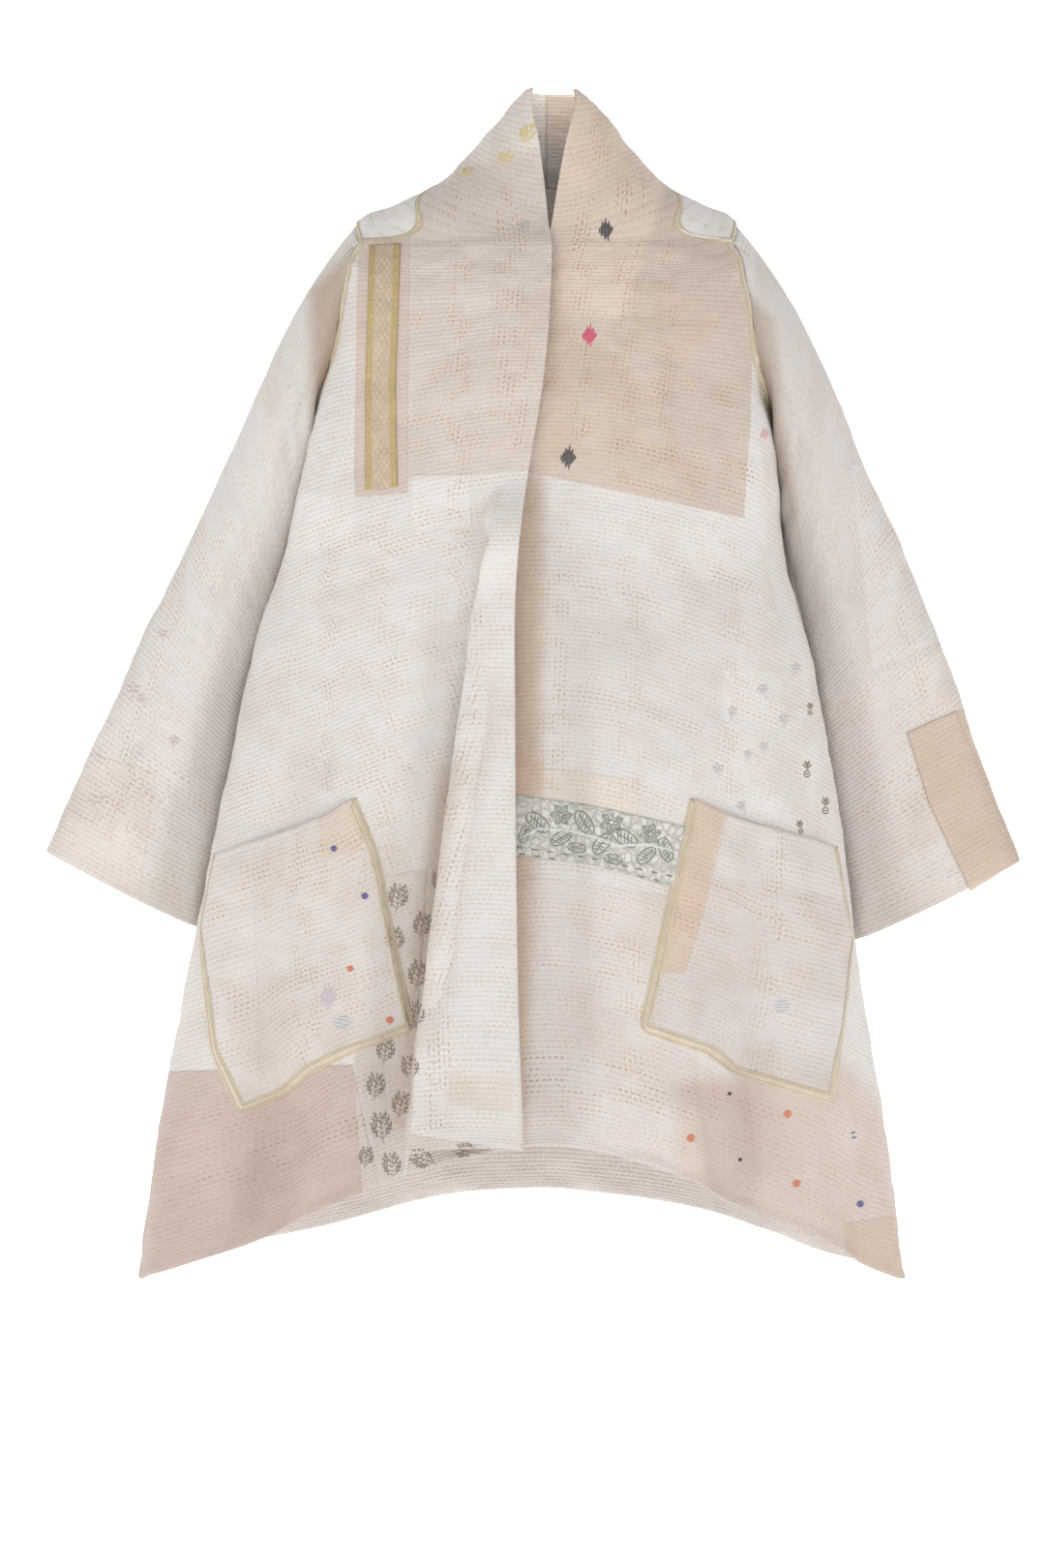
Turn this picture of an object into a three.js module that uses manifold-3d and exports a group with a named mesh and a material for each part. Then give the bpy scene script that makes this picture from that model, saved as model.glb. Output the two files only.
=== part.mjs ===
// A quilted patchwork jacket with a grown-on funnel collar, wide sleeves and two patch pockets.
// Millimetres, +Z up, the front faces -Y, the wearer's right is -X.
// The origin is at the base of the neck, level with the top of the shoulders.
import * as THREE from "three";
import Module from "manifold-3d";

const wasm = await Module();
wasm.setup();

// Cloth: three layers of worn cotton, quilted, with folded cotton tape over the seams.
const CLOTH = 2.0;
const TAPE = 1.0;
const TAPE_WIDTH = 8;
const POCKET_CLOTH = 1.6;
const BORDER_CLOTH = 0.8;
const SEAM_GAP = 0.3;
const OUTER = CLOTH / 2;

// A table's rows as objects, with the names in its first row.
const table = ([names, ...rows]) => rows.map((row) => Object.fromEntries(names.map((name, i) => [name, row[i]])));

// One row for each ring of the body, from the hem to the top of the collar. Heights are those of the ring
// at the centre front, at the side and at the centre back. right and left are half widths on the wearer's
// sides, front and back are depths, and square is the exponent of the ring's outline. edgeRight and edgeLeft
// say where the two front edges run, measured round the ring from the centre front. armFront and armBack
// are the shares of each quarter of the ring at which the front and the back panel end, and rise is how late
// the ring climbs from the centre front to the side: the shoulders fall away forward, over the yoke seam.
const RINGS = table([
  ["name", "frontZ", "sideZ", "backZ", "right", "left", "front", "back", "square",
    "edgeRight", "edgeLeft", "armFront", "armBack", "rise"],
  ["hem", -838, -967, -902, 361, 316, 168, 165, 2.1, -20, -62, 1, 0, 1],
  ["lower hip", -720, -838, -785, 344, 299, 160, 158, 2.1, -24, -60, 1, 0, 1],
  ["pocket", -600, -705, -665, 319, 278, 152, 150, 2.15, -26, -57, 1, 0, 1],
  ["hip", -480, -570, -540, 293, 260, 145, 142, 2.2, -27, -54, 1, 0, 1],
  ["waist", -370, -440, -415, 265, 239, 140, 134, 2.3, -27, -50, 1, 0, 1],
  ["ribs", -280, -335, -312, 237, 217, 136, 126, 2.4, -19, -43, 1, 0, 1],
  ["underarm", -205, -240, -222, 210, 202, 130, 118, 2.5, -7, -34, 1, 0, 1],
  ["chest", -148, -165, -150, 197, 193, 121, 111, 2.6, 0, -24, 0.82, 0.17, 1],
  ["upper chest", -100, -95, -88, 186, 184, 109, 103, 2.8, 3, -14, 0.78, 0.21, 1],
  ["shoulder tip", -68, -33, -42, 168, 167, 97, 95, 3.0, 4, -5, 0.8, 0.24, 8],
  ["shoulder", -55, -17, -14, 136, 139, 89, 87, 3.0, 3, 0, 0.6, 0.3, 2.4],
  ["neck", -40, 0, 10, 100, 106, 80, 78, 2.8, 1, 4, 0.95, 0.3, 1],
  ["collar base", -8, 24, 30, 73, 81, 68, 67, 2.4, -2, 9, 1, 0, 1],
  ["collar", 38, 56, 58, 44, 57, 55, 56, 2.2, -8, 18, 1, 0, 1],
  ["collar top", 84, 86, 83, 17, 29, 42, 46, 2.0, -18, 33, 1, 0, 1],
]);
const UNDERARM = 6;
const SHOULDER_TIP = 9;
const NECK = 11;
const COLLAR_TOP = 14;

// The soft folds of the fall, one row each. side is -1 on the wearer's right and 1 on the left. hem and top
// are shares of the half ring, 0 at the centre front, 1 at the side, 2 at the centre back. The fold fades
// out at ring fadeRing. depth is outward for a ridge and inward for a trough.
const FOLDS = [
  { name: "trough beside the pleat", side: -1, hem: 0.33, top: 0.24, fadeRing: 5.5, width: 0.11, depth: -9 },
  { name: "ridge over the pocket", side: -1, hem: 0.44, top: 0.5, fadeRing: 4.5, width: 0.13, depth: 10 },
  { name: "trough outside the pocket", side: -1, hem: 0.58, top: 0.66, fadeRing: 4, width: 0.12, depth: -22 },
  { name: "ridge of the side point", side: -1, hem: 0.78, top: 0.82, fadeRing: 4, width: 0.17, depth: 20 },
  { name: "trough under the pocket", side: 1, hem: 0.42, top: 0.52, fadeRing: 4, width: 0.12, depth: -20 },
  { name: "ridge of the left side point", side: 1, hem: 0.6, top: 0.7, fadeRing: 4, width: 0.15, depth: 18 },
  { name: "trough by the left edge", side: 1, hem: 0.02, top: 0.05, fadeRing: 8.2, width: 0.1, depth: -7 },
  { name: "chest trough", side: 1, hem: 0.5, top: 0.56, fadeRing: 8.6, width: 0.09, depth: -3 },
  { name: "back ridge, right", side: -1, hem: 1.3, top: 1.35, fadeRing: 6.5, width: 0.16, depth: 16 },
  { name: "back trough, right", side: -1, hem: 1.55, top: 1.56, fadeRing: 6.5, width: 0.15, depth: -18 },
  { name: "back ridge, right of centre", side: -1, hem: 1.8, top: 1.78, fadeRing: 7.5, width: 0.14, depth: 14 },
  { name: "back trough, left of centre", side: 1, hem: 1.88, top: 1.9, fadeRing: 7, width: 0.13, depth: -15 },
  { name: "back ridge, left", side: 1, hem: 1.62, top: 1.64, fadeRing: 6.8, width: 0.15, depth: 16 },
  { name: "back trough, left", side: 1, hem: 1.32, top: 1.36, fadeRing: 6, width: 0.15, depth: -14 },
];

// The body is pressed in behind its sides, where the sleeves hang against it.
const ARM_HOLLOW = { ring: 3.6, rings: 3.2, share: 1.24, width: 0.27, depth: 30 };

// The knife pleat along the right front edge: it opens at the ribs and is widest at the hem.
// strip is the cloth before the fold, under the cloth turned back beneath it and turn the fold itself.
const PLEAT = {
  topRing: 5.3, angle: 172, lift: 20,
  stripTop: 12, stripHem: 103, underTop: 9, underHem: 88, turnTop: 6, turnHem: 16,
};
// The right front stands off the left one that it laps.
const FRONT_STANDOFF = { edge: 7, from: 20, width: 90 };

// The two sleeves as flat outlines seen from the front: where the outer and the inner edge run, the half
// depth of the tube there and how far back its middle lies. The first row is the armhole itself.
const SLEEVES = {
  right: [
    { outerX: -212, outerZ: -82, innerX: -216, innerZ: -262, depth: 62, middleY: 6 },
    { outerX: -246, outerZ: -153, innerX: -231, innerZ: -312, depth: 60, middleY: 18 },
    { outerX: -291, outerZ: -250, innerX: -251, innerZ: -378, depth: 56, middleY: 28 },
    { outerX: -340, outerZ: -356, innerX: -272, innerZ: -450, depth: 52, middleY: 32 },
    { outerX: -386, outerZ: -456, innerX: -290, innerZ: -536, depth: 47, middleY: 32 },
    { outerX: -424, outerZ: -540, innerX: -305, innerZ: -606, depth: 43, middleY: 30 },
    { outerX: -447, outerZ: -589, innerX: -314, innerZ: -657, depth: 40, middleY: 28 },
  ],
  left: [
    { outerX: 218, outerZ: -90, innerX: 208, innerZ: -262, depth: 62, middleY: 6 },
    { outerX: 250, outerZ: -164, innerX: 220, innerZ: -315, depth: 60, middleY: 18 },
    { outerX: 288, outerZ: -258, innerX: 231, innerZ: -382, depth: 56, middleY: 28 },
    { outerX: 328, outerZ: -360, innerX: 246, innerZ: -455, depth: 52, middleY: 32 },
    { outerX: 369, outerZ: -462, innerX: 261, innerZ: -545, depth: 47, middleY: 32 },
    { outerX: 402, outerZ: -546, innerX: 273, innerZ: -615, depth: 43, middleY: 30 },
    { outerX: 422, outerZ: -598, innerX: 280, innerZ: -668, depth: 40, middleY: 28 },
  ],
};
const SLEEVE_FOLDS = [
  { along: 0.3, round: 0.12, width: 0.09, depth: -5 },
  { along: 0.75, round: 0.3, width: 0.08, depth: -5 },
  { along: 0.8, round: 0.68, width: 0.1, depth: -6 },
  { along: 0.4, round: 0.85, width: 0.1, depth: -6 },
];

// Flat pieces on the fronts, as corners seen from the front (X, Z).
const POCKETS = {
  right: [[-282, -586], [-172, -536], [-121, -742], [-270, -809]],
  left: [[130, -541], [257, -583], [268, -707], [246, -797], [87, -737]],
};
const GOLD_BORDER = [[-159, -58], [-125, -58], [-130, -262], [-158, -266]];
const CUFF_PATCH = [[318, -482], [364, -464], [426, -606], [375, -632]];
const SILVER_BORDER = [[-20, -528], [122, -549], [112, -605], [-20, -588]];

const clamp = (x, low = 0, high = 1) => Math.min(high, Math.max(low, x));
const lerp = (a, b, k) => a + (b - a) * k;
const smooth = (x) => clamp(x) ** 2 * (3 - 2 * clamp(x));
const bump = (x) => (Math.abs(x) < 1 ? (1 - x * x) ** 2 : 0);

// Values of a table's columns at a place between its rows, on a smooth curve through them.
function between(rows, place) {
  const last = rows.length - 1;
  const i = clamp(Math.floor(place), 0, last - 1);
  const k = place - i;
  const [p0, p1, p2, p3] = [Math.max(i - 1, 0), i, i + 1, Math.min(i + 2, last)].map((j) => rows[j]);
  const value = (key) => {
    const m1 = (p2[key] - p0[key]) / 2;
    const m2 = (p3[key] - p1[key]) / 2;
    return (
      (2 * k ** 3 - 3 * k ** 2 + 1) * p1[key] + (k ** 3 - 2 * k ** 2 + k) * m1 +
      (-2 * k ** 3 + 3 * k ** 2) * p2[key] + (k ** 3 - k ** 2) * m2
    );
  };
  return Object.fromEntries(Object.keys(p1).filter((key) => key !== "name").map((key) => [key, value(key)]));
}

// A quarter of a ring, from its flat middle to its side, as points with the length along it.
const QUARTER_STEPS = 48;
function quarter(width, depth, square) {
  const points = [];
  let length = 0;
  for (let i = 0; i <= QUARTER_STEPS; i++) {
    const angle = ((Math.PI / 2) * i) / QUARTER_STEPS;
    const x = width * Math.sin(angle) ** (2 / square);
    const y = depth * Math.max(Math.cos(angle), 0) ** (2 / square);
    const before = points[i - 1];
    length += before ? Math.hypot(x - before.x, y - before.y) : 0;
    points.push({ x, y, length });
  }
  return points;
}

function alongQuarter(points, share) {
  const total = points[QUARTER_STEPS].length;
  const wanted = clamp(share) * total;
  let i = 1;
  while (i < QUARTER_STEPS && points[i].length < wanted) i++;
  const [a, b] = [points[i - 1], points[i]];
  const k = (wanted - a.length) / (b.length - a.length);
  return { x: lerp(a.x, b.x, k), y: lerp(a.y, b.y, k), tx: b.x - a.x, ty: b.y - a.y, total };
}

const ringCache = new Map();
function ring(place) {
  const key = place.toFixed(6);
  if (!ringCache.has(key)) {
    const r = between(RINGS, place);
    const parts = {};
    for (const side of ["right", "left"])
      for (const face of ["front", "back"]) parts[side + face] = quarter(r[side], r[face], r.square);
    ringCache.set(key, { ...r, parts });
  }
  return ringCache.get(key);
}
function frontLength(place, side) {
  return ring(place).parts[side < 0 ? "rightfront" : "leftfront"][QUARTER_STEPS].length;
}

function foldDepth(place, half, side) {
  let depth = 0;
  for (const fold of FOLDS) {
    const fade = smooth((fold.fadeRing - place) / fold.fadeRing) ** 0.8;
    const centre = lerp(fold.hem, fold.top, place / fold.fadeRing);
    const signed = fold.side === side ? half : half < 1 ? -half : 4 - half;
    depth += fold.depth * fade * bump((signed - centre) / fold.width);
  }
  return depth;
}

// A point of the body's form. place counts rings from the hem, share goes round from the centre front:
// -1 and 1 are the sides and -2 and 2 the centre back. out moves the point outward.
function bodyPoint(place, share, out = 0) {
  const r = ring(place);
  const side = share < 0 ? -1 : 1;
  const half = Math.abs(share);
  const face = half <= 1 ? "front" : "back";
  const part = r.parts[(side < 0 ? "right" : "left") + face];
  const q = alongQuarter(part, face === "front" ? half : 2 - half);
  const facing = face === "front" ? -1 : 1;
  const flat = Math.hypot(q.tx, q.ty);
  const [nx, ny] = [-q.ty / flat, q.tx / flat];
  const z =
    face === "front"
      ? lerp(r.frontZ, r.sideZ, smooth(half) ** r.rise)
      : lerp(r.sideZ, r.backZ, smooth(half - 1));
  const hollow =
    ARM_HOLLOW.depth *
    bump((place - ARM_HOLLOW.ring) / ARM_HOLLOW.rings) *
    bump((half - ARM_HOLLOW.share) / ARM_HOLLOW.width);
  const move = out + foldDepth(place, half, side) - hollow;
  return new THREE.Vector3(side * (q.x + nx * move), facing * (q.y + ny * move), z);
}

// The plan of the pleat at one ring: how far across and how far forward the cloth lies after a length of it.
const pleatCache = new Map();
const PLEAT_STEP = 0.5;
function pleat(place) {
  const key = place.toFixed(6);
  if (pleatCache.has(key)) return pleatCache.get(key);
  const opened = clamp((PLEAT.topRing - place) / PLEAT.topRing);
  const strip = lerp(PLEAT.stripTop, PLEAT.stripHem, opened);
  const under = lerp(PLEAT.underTop, PLEAT.underHem, opened);
  const turn = lerp(PLEAT.turnTop, PLEAT.turnHem, opened);
  const angle = THREE.MathUtils.degToRad(PLEAT.angle) * smooth(opened * 4);
  const length = strip + under + turn;
  const steps = [{ across: 0, forward: 0 }];
  for (let s = 0; s < length; s += PLEAT_STEP) {
    const turned =
      angle * smooth((s - strip + turn / 2) / turn) * (1 - smooth((s - strip - under + turn / 2) / turn));
    const last = steps[steps.length - 1];
    steps.push({
      across: last.across + PLEAT_STEP * Math.cos(turned),
      forward: last.forward - PLEAT_STEP * Math.sin(turned),
    });
  }
  const ends = [0, strip - turn / 2, strip + turn / 2, length - 1.5 * turn, length - turn / 2];
  const made = { opened, strip, steps, ends };
  pleatCache.set(key, made);
  return made;
}

// The columns of the right front, as shares of its width that the pleat's parts get.
const PLEAT_COLUMNS = [0, 0.16, 0.3, 0.38, 0.52];
const PLEAT_END = PLEAT_COLUMNS[4];

// How much cloth lies between the right front's edge and a column of the pleat.
function alongPleat(ends, column) {
  let i = 1;
  while (i < 4 && column > PLEAT_COLUMNS[i]) i++;
  const [from, to] = [PLEAT_COLUMNS[i - 1], PLEAT_COLUMNS[i]];
  return lerp(ends[i - 1], ends[i], (column - from) / (to - from));
}

// How far the right front stands off at a length from the centre front.
function standoff(place, across) {
  const nearEdge = 1 - smooth((across - FRONT_STANDOFF.from) / FRONT_STANDOFF.width);
  return FRONT_STANDOFF.edge * nearEdge * smooth((NECK + 0.5 - place) / 2);
}

// Half the gap at the side seam, and more at the slanting shoulder seam.
const halfGap = (place) => (place > SHOULDER_TIP ? SEAM_GAP : SEAM_GAP / 2);

function rightFrontPoint(place, column, out = 0) {
  const r = ring(place);
  const { opened, strip, steps, ends } = pleat(place);
  const quarterLength = frontLength(place, -1);
  const finish = steps[steps.length - 1];
  const outer = quarterLength * clamp(r.armFront) - halfGap(place);
  const start = finish.across - r.edgeRight;
  let across = lerp(start, outer, (column - PLEAT_END) / (1 - PLEAT_END));
  let forward = 0;
  let lift = 0;
  if (column <= PLEAT_END) {
    const cloth = alongPleat(ends, column);
    const j = clamp(Math.floor(cloth / PLEAT_STEP), 0, steps.length - 2);
    const part = cloth / PLEAT_STEP - j;
    across = lerp(steps[j].across, steps[j + 1].across, part) - r.edgeRight;
    forward = lerp(steps[j].forward, steps[j + 1].forward, part) - finish.forward;
    lift = PLEAT.lift * opened * clamp(1 - Math.abs(cloth - strip) / strip);
  }
  const point = bodyPoint(place, -across / quarterLength, out + forward + standoff(place, across));
  point.z += lift;
  return point;
}

function leftFrontPoint(place, column, out = 0) {
  const r = ring(place);
  const quarterLength = frontLength(place, 1);
  const outer = quarterLength * clamp(r.armFront) - halfGap(place);
  const along = lerp(r.edgeLeft, outer, column);
  const share = along < 0 ? along / frontLength(place, -1) : along / quarterLength;
  return bodyPoint(place, share, out);
}

// Above the neck each front goes on round the neck to the centre back, as half of the collar. Its columns
// lean back as it rises, so that they stay well apart beside the open top.
const COLLAR_LEAN = 0.15;
function collarPoint(side, place, column, out = 0) {
  const r = ring(place);
  const half = frontLength(place, side);
  const edge = (side < 0 ? -r.edgeRight : r.edgeLeft) / half;
  const seam = RINGS[NECK].armFront + COLLAR_LEAN * smooth((place - NECK) / (COLLAR_TOP - NECK));
  const gap = SEAM_GAP / 2 / half;
  const share = column <= 1 ? lerp(edge, seam, column) : lerp(seam, 2 - gap, column - 1);
  const lift = side < 0 ? standoff(place, share * half) : 0;
  return bodyPoint(place, side * share, out + lift);
}

function backPoint(place, column, out = 0) {
  const r = ring(place);
  const side = column < 0 ? -1 : 1;
  const across = Math.abs(column);
  const gap = halfGap(place) / frontLength(place, side);
  const armBack = 1 + clamp(r.armBack);
  const seam = across <= 1 ? lerp(2, armBack + gap, across) : lerp(armBack, r.armFront + gap, across - 1);
  return bodyPoint(place, side * seam, out);
}

// A sheet is a list of points with their normals and triangles that face outward.
function sheet(rowPlaces, columnPlaces, pointAt, options = {}) {
  const { flip = false, keep = () => true, step = 0.02, closed = false } = options;
  const points = [];
  const normals = [];
  const columns = [];
  const triangles = [];
  for (const row of rowPlaces)
    for (const column of columnPlaces) {
      points.push(pointAt(row, column));
      columns.push(column);
      const du = pointAt(row, column + step).sub(pointAt(row, column - step));
      const dv = pointAt(row + step, column).sub(pointAt(row - step, column));
      normals.push(du.cross(dv).normalize().multiplyScalar(flip ? -1 : 1));
    }
  const width = columnPlaces.length;
  const lastColumn = closed ? width : width - 1;
  for (let i = 0; i + 1 < rowPlaces.length; i++)
    for (let j = 0; j < lastColumn; j++) {
      if (!keep(rowPlaces[i], columnPlaces[j], i, j)) continue;
      const next = (j + 1) % width;
      const [a, b, c, d] = [i * width + j, i * width + next, (i + 1) * width + next, (i + 1) * width + j];
      triangles.push(...(flip ? [[a, c, b], [a, d, c]] : [[a, b, c], [a, c, d]]));
    }
  return { points, normals, columns, triangles };
}

// The closed solid between two offsets of a sheet.
function thicken({ points, normals, triangles }, from, to) {
  const used = new Map();
  const positions = [];
  const place = (i, offset, layer) => {
    const key = i * 2 + layer;
    if (!used.has(key)) {
      const p = points[i].clone().addScaledVector(normals[i], offset);
      used.set(key, positions.length / 3);
      positions.push(p.x, p.y, p.z);
    }
    return used.get(key);
  };
  const edges = new Map();
  const index = [];
  for (const [a, b, c] of triangles) {
    index.push(place(a, to, 1), place(b, to, 1), place(c, to, 1));
    index.push(place(a, from, 0), place(c, from, 0), place(b, from, 0));
    for (const [s, e] of [[a, b], [b, c], [c, a]]) {
      const back = e + "_" + s;
      if (edges.has(back)) edges.delete(back);
      else edges.set(s + "_" + e, [s, e]);
    }
  }
  for (const [s, e] of edges.values()) {
    const [s0, e0, s1, e1] = [place(s, from, 0), place(e, from, 0), place(s, to, 1), place(e, to, 1)];
    index.push(s1, s0, e0, s1, e0, e1);
  }
  return new THREE.BufferGeometry()
    .setAttribute("position", new THREE.Float32BufferAttribute(positions, 3))
    .setIndex(index);
}

function middleOf(outline) {
  const sum = outline.reduce(([x, z], [px, pz]) => [x + px, z + pz], [0, 0]);
  return sum.map((total) => total / outline.length);
}

// The part of a sheet inside a convex outline seen from the front.
function clip(source, outline) {
  let { points, normals, triangles } = source;
  const centre = middleOf(outline);
  outline.forEach(([x0, z0], i) => {
    const [x1, z1] = outline[(i + 1) % outline.length];
    const value = (x, z) => (x1 - x0) * (z - z0) - (z1 - z0) * (x - x0);
    const sign = Math.sign(value(...centre));
    const distance = points.map((p) => sign * value(p.x, p.z));
    const [newPoints, newNormals] = [[...points], [...normals]];
    const cuts = new Map();
    const cut = (a, b) => {
      const key = Math.min(a, b) + "_" + Math.max(a, b);
      if (!cuts.has(key)) {
        const k = distance[a] / (distance[a] - distance[b]);
        cuts.set(key, newPoints.length);
        newPoints.push(points[a].clone().lerp(points[b], k));
        newNormals.push(normals[a].clone().lerp(normals[b], k));
      }
      return cuts.get(key);
    };
    const kept = [];
    for (const triangle of triangles) {
      const face = [];
      triangle.forEach((a, j) => {
        const b = triangle[(j + 1) % 3];
        if (distance[a] >= 0) face.push(a);
        if (distance[a] >= 0 !== distance[b] >= 0) face.push(cut(a, b));
      });
      for (let j = 1; j + 1 < face.length; j++) kept.push([face[0], face[j], face[j + 1]]);
    }
    [points, normals, triangles] = [newPoints, newNormals, kept];
  });
  return { points, normals, triangles };
}

const spread = (from, to, count) => Array.from({ length: count + 1 }, (_, i) => lerp(from, to, i / count));
const chain = (...lists) => [...new Set(lists.flat().map((x) => Number(x.toFixed(6))))].sort((a, b) => a - b);

// Rows of each panel, as places among the rings. The armhole's rows are shared by fronts, back and sleeves.
const SKIRT_ROWS = spread(0, UNDERARM, 20);
const ARMHOLE_ROWS = spread(UNDERARM, SHOULDER_TIP, 8);
const SHOULDER_ROWS = chain(spread(SHOULDER_TIP, SHOULDER_TIP + 0.3, 2), spread(SHOULDER_TIP + 0.3, NECK, 4));
const COLLAR_ROWS = spread(NECK, COLLAR_TOP, 5);
const RIGHT_COLUMNS = chain(
  spread(PLEAT_COLUMNS[0], PLEAT_COLUMNS[1], 2),
  spread(PLEAT_COLUMNS[1], PLEAT_COLUMNS[2], 3),
  spread(PLEAT_COLUMNS[2], PLEAT_COLUMNS[3], 1),
  spread(PLEAT_COLUMNS[3], PLEAT_COLUMNS[4], 3),
  spread(PLEAT_COLUMNS[4], 1, 11),
);
const LEFT_COLUMNS = spread(0, 1, 16);
const COLLAR_BACK_COLUMNS = spread(1, 2, 6);
const BACK_COLUMNS = spread(-1, 1, 26);
const SHOULDER_COLUMNS = 6;

function frontSheet(side) {
  const bodyRows = chain(SKIRT_ROWS, ARMHOLE_ROWS, SHOULDER_ROWS);
  const rows = chain(bodyRows, COLLAR_ROWS);
  const columns = chain(side < 0 ? RIGHT_COLUMNS : LEFT_COLUMNS, COLLAR_BACK_COLUMNS);
  const bodyPart = side < 0 ? rightFrontPoint : leftFrontPoint;
  // Just past the side edge the front's own surface goes on, so that the edge's normals stay true.
  const pointAt = (row, column) => {
    if (row < NECK - 1e-6 && column < 1.1) return bodyPart(row, column);
    const share = column <= 1 && side < 0 ? evenColumn(column) : column;
    return collarPoint(side, Math.max(row, NECK), share);
  };
  const keep = (row, column) => row >= NECK - 1e-6 || column < 1 - 1e-6;
  return sheet(rows, columns, pointAt, { flip: side < 0, keep });
}

// Above the pleat the right front's columns keep the spacing that they have at the neck.
function evenColumn(column) {
  const r = ring(NECK);
  const outer = frontLength(NECK, -1) * r.armFront;
  const { ends } = pleat(NECK);
  const rest = lerp(ends[4], outer + r.edgeRight, (column - PLEAT_END) / (1 - PLEAT_END));
  const along = column > PLEAT_END ? rest : alongPleat(ends, column);
  return along / (outer + r.edgeRight);
}

const CREAM = { color: 0xe9e4de, roughness: 0.9, metalness: 0 };
const TAPE_BEIGE = { color: 0xd0c2a8, roughness: 0.9, metalness: 0 };
const GOLD = { color: 0xc8b273, roughness: 0.75, metalness: 0 };
const SILVER = { color: 0xb8bbb5, roughness: 0.75, metalness: 0 };
const BEIGE = { color: 0xd9ccc2, roughness: 0.9, metalness: 0 };

const jacket = new THREE.Group();
function add(name, geometry, material = CREAM) {
  const mesh = new THREE.Mesh(geometry, new THREE.MeshStandardMaterial(material));
  mesh.name = name;
  jacket.add(mesh);
  return mesh;
}

function backSheet() {
  const sides = spread(1, 2, SHOULDER_COLUMNS);
  const columns = chain(sides.map((x) => -x), BACK_COLUMNS, sides);
  const rows = chain(SKIRT_ROWS, ARMHOLE_ROWS, SHOULDER_ROWS).map((row) => Math.min(row, NECK - 0.012));
  const keep = (row, column, i, j) =>
    row >= SHOULDER_TIP - 1e-6 || (columns[j] >= -1 - 1e-6 && columns[j + 1] <= 1 + 1e-6);
  return sheet(rows, columns, backPoint, { flip: true, keep });
}

// The armhole as a loop: 0 is the underarm, then up the front edge, over the top at 0.5 and down the back.
const ARMHOLE_TOP = { start: 0.4, end: 0.6 };
const LOOP_STEPS = 20;
function armhole(turn) {
  const t = ((turn % 1) + 1) % 1;
  if (t < ARMHOLE_TOP.start) {
    const place = lerp(UNDERARM, SHOULDER_TIP, t / ARMHOLE_TOP.start);
    return { place, share: clamp(ring(place).armFront) };
  }
  if (t <= ARMHOLE_TOP.end) {
    const k = (t - ARMHOLE_TOP.start) / (ARMHOLE_TOP.end - ARMHOLE_TOP.start);
    const top = ring(SHOULDER_TIP);
    return { place: SHOULDER_TIP, share: lerp(top.armFront, 1 + top.armBack, k) };
  }
  const place = lerp(SHOULDER_TIP, UNDERARM, (t - ARMHOLE_TOP.end) / (1 - ARMHOLE_TOP.end));
  return { place, share: 1 + clamp(ring(place).armBack) };
}
// The same loop moved into the panels by inset, or into the hole when inset is negative.
const RING_SPACING = 68;
function armholePoint(side, turn, inset, out = 0) {
  const { place, share } = armhole(turn);
  const length = frontLength(place, side);
  const [before, after] = [armhole(turn - 0.02), armhole(turn + 0.02)];
  const across = (after.share - before.share) * length;
  const up = (after.place - before.place) * RING_SPACING;
  const long = Math.hypot(across, up);
  const moved = place + (inset * across) / long / RING_SPACING;
  return bodyPoint(moved, side * (share - (inset * up) / long / length), out);
}

// A point of a sleeve. place counts the rows of its table, turn goes round as on the armhole.
const SLEEVE_GAP = 1.5;
const SLEEVE_LIFT = 2.4;
const SLEEVE_BULGE = 30;
const TOP_SHARE = 0.88;
const SLEEVE_GIRTH = 340;
function sleevePoint(side, place, turn) {
  const t = ((turn % 1) + 1) % 1;
  const half = t <= 0.5 ? t : 1 - t;
  const along =
    half < ARMHOLE_TOP.start
      ? (TOP_SHARE * half) / ARMHOLE_TOP.start
      : TOP_SHARE + ((1 - TOP_SHARE) * (half - ARMHOLE_TOP.start)) / (0.5 - ARMHOLE_TOP.start);
  const angle = Math.PI * (1 - along);
  const row = between(side < 0 ? SLEEVES.right : SLEEVES.left, place);
  let swell = 0;
  for (const fold of SLEEVE_FOLDS) {
    const shown = smooth(place / 2) * smooth((place / 6 - fold.along + 0.5) * 2);
    swell += fold.depth * shown * bump((t - fold.round) / fold.width);
  }
  const across = Math.cos(angle);
  const depth = (row.depth + swell) * Math.sin(angle) * (t <= 0.5 ? -1 : 1);
  const tube = new THREE.Vector3(
    (row.outerX + row.innerX) / 2 + (across * (row.outerX - row.innerX)) / 2,
    row.middleY + depth,
    (row.outerZ + row.innerZ) / 2 + (across * (row.outerZ - row.innerZ)) / 2,
  );
  if (place >= 1) return tube;
  const low = 1 - smooth(half / 0.3);
  const bulge = SLEEVE_BULGE * Math.max(place, 0) * (1 - place);
  const start = armholePoint(side, t, -SLEEVE_GAP, low * (SLEEVE_LIFT + bulge));
  return start.lerp(tube, place * (2 - place));
}
const SLEEVE_ROWS = [...spread(0, 1, 3), ...spread(1, 6, 9).slice(1)];
const SLEEVE_COLUMNS = spread(0, 1, LOOP_STEPS).slice(0, LOOP_STEPS);
const sleeveSheet = (side, options = {}) =>
  sheet(SLEEVE_ROWS, SLEEVE_COLUMNS, (row, turn) => sleevePoint(side, row, turn), {
    flip: side > 0, closed: true, step: 0.004, ...options,
  });

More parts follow.
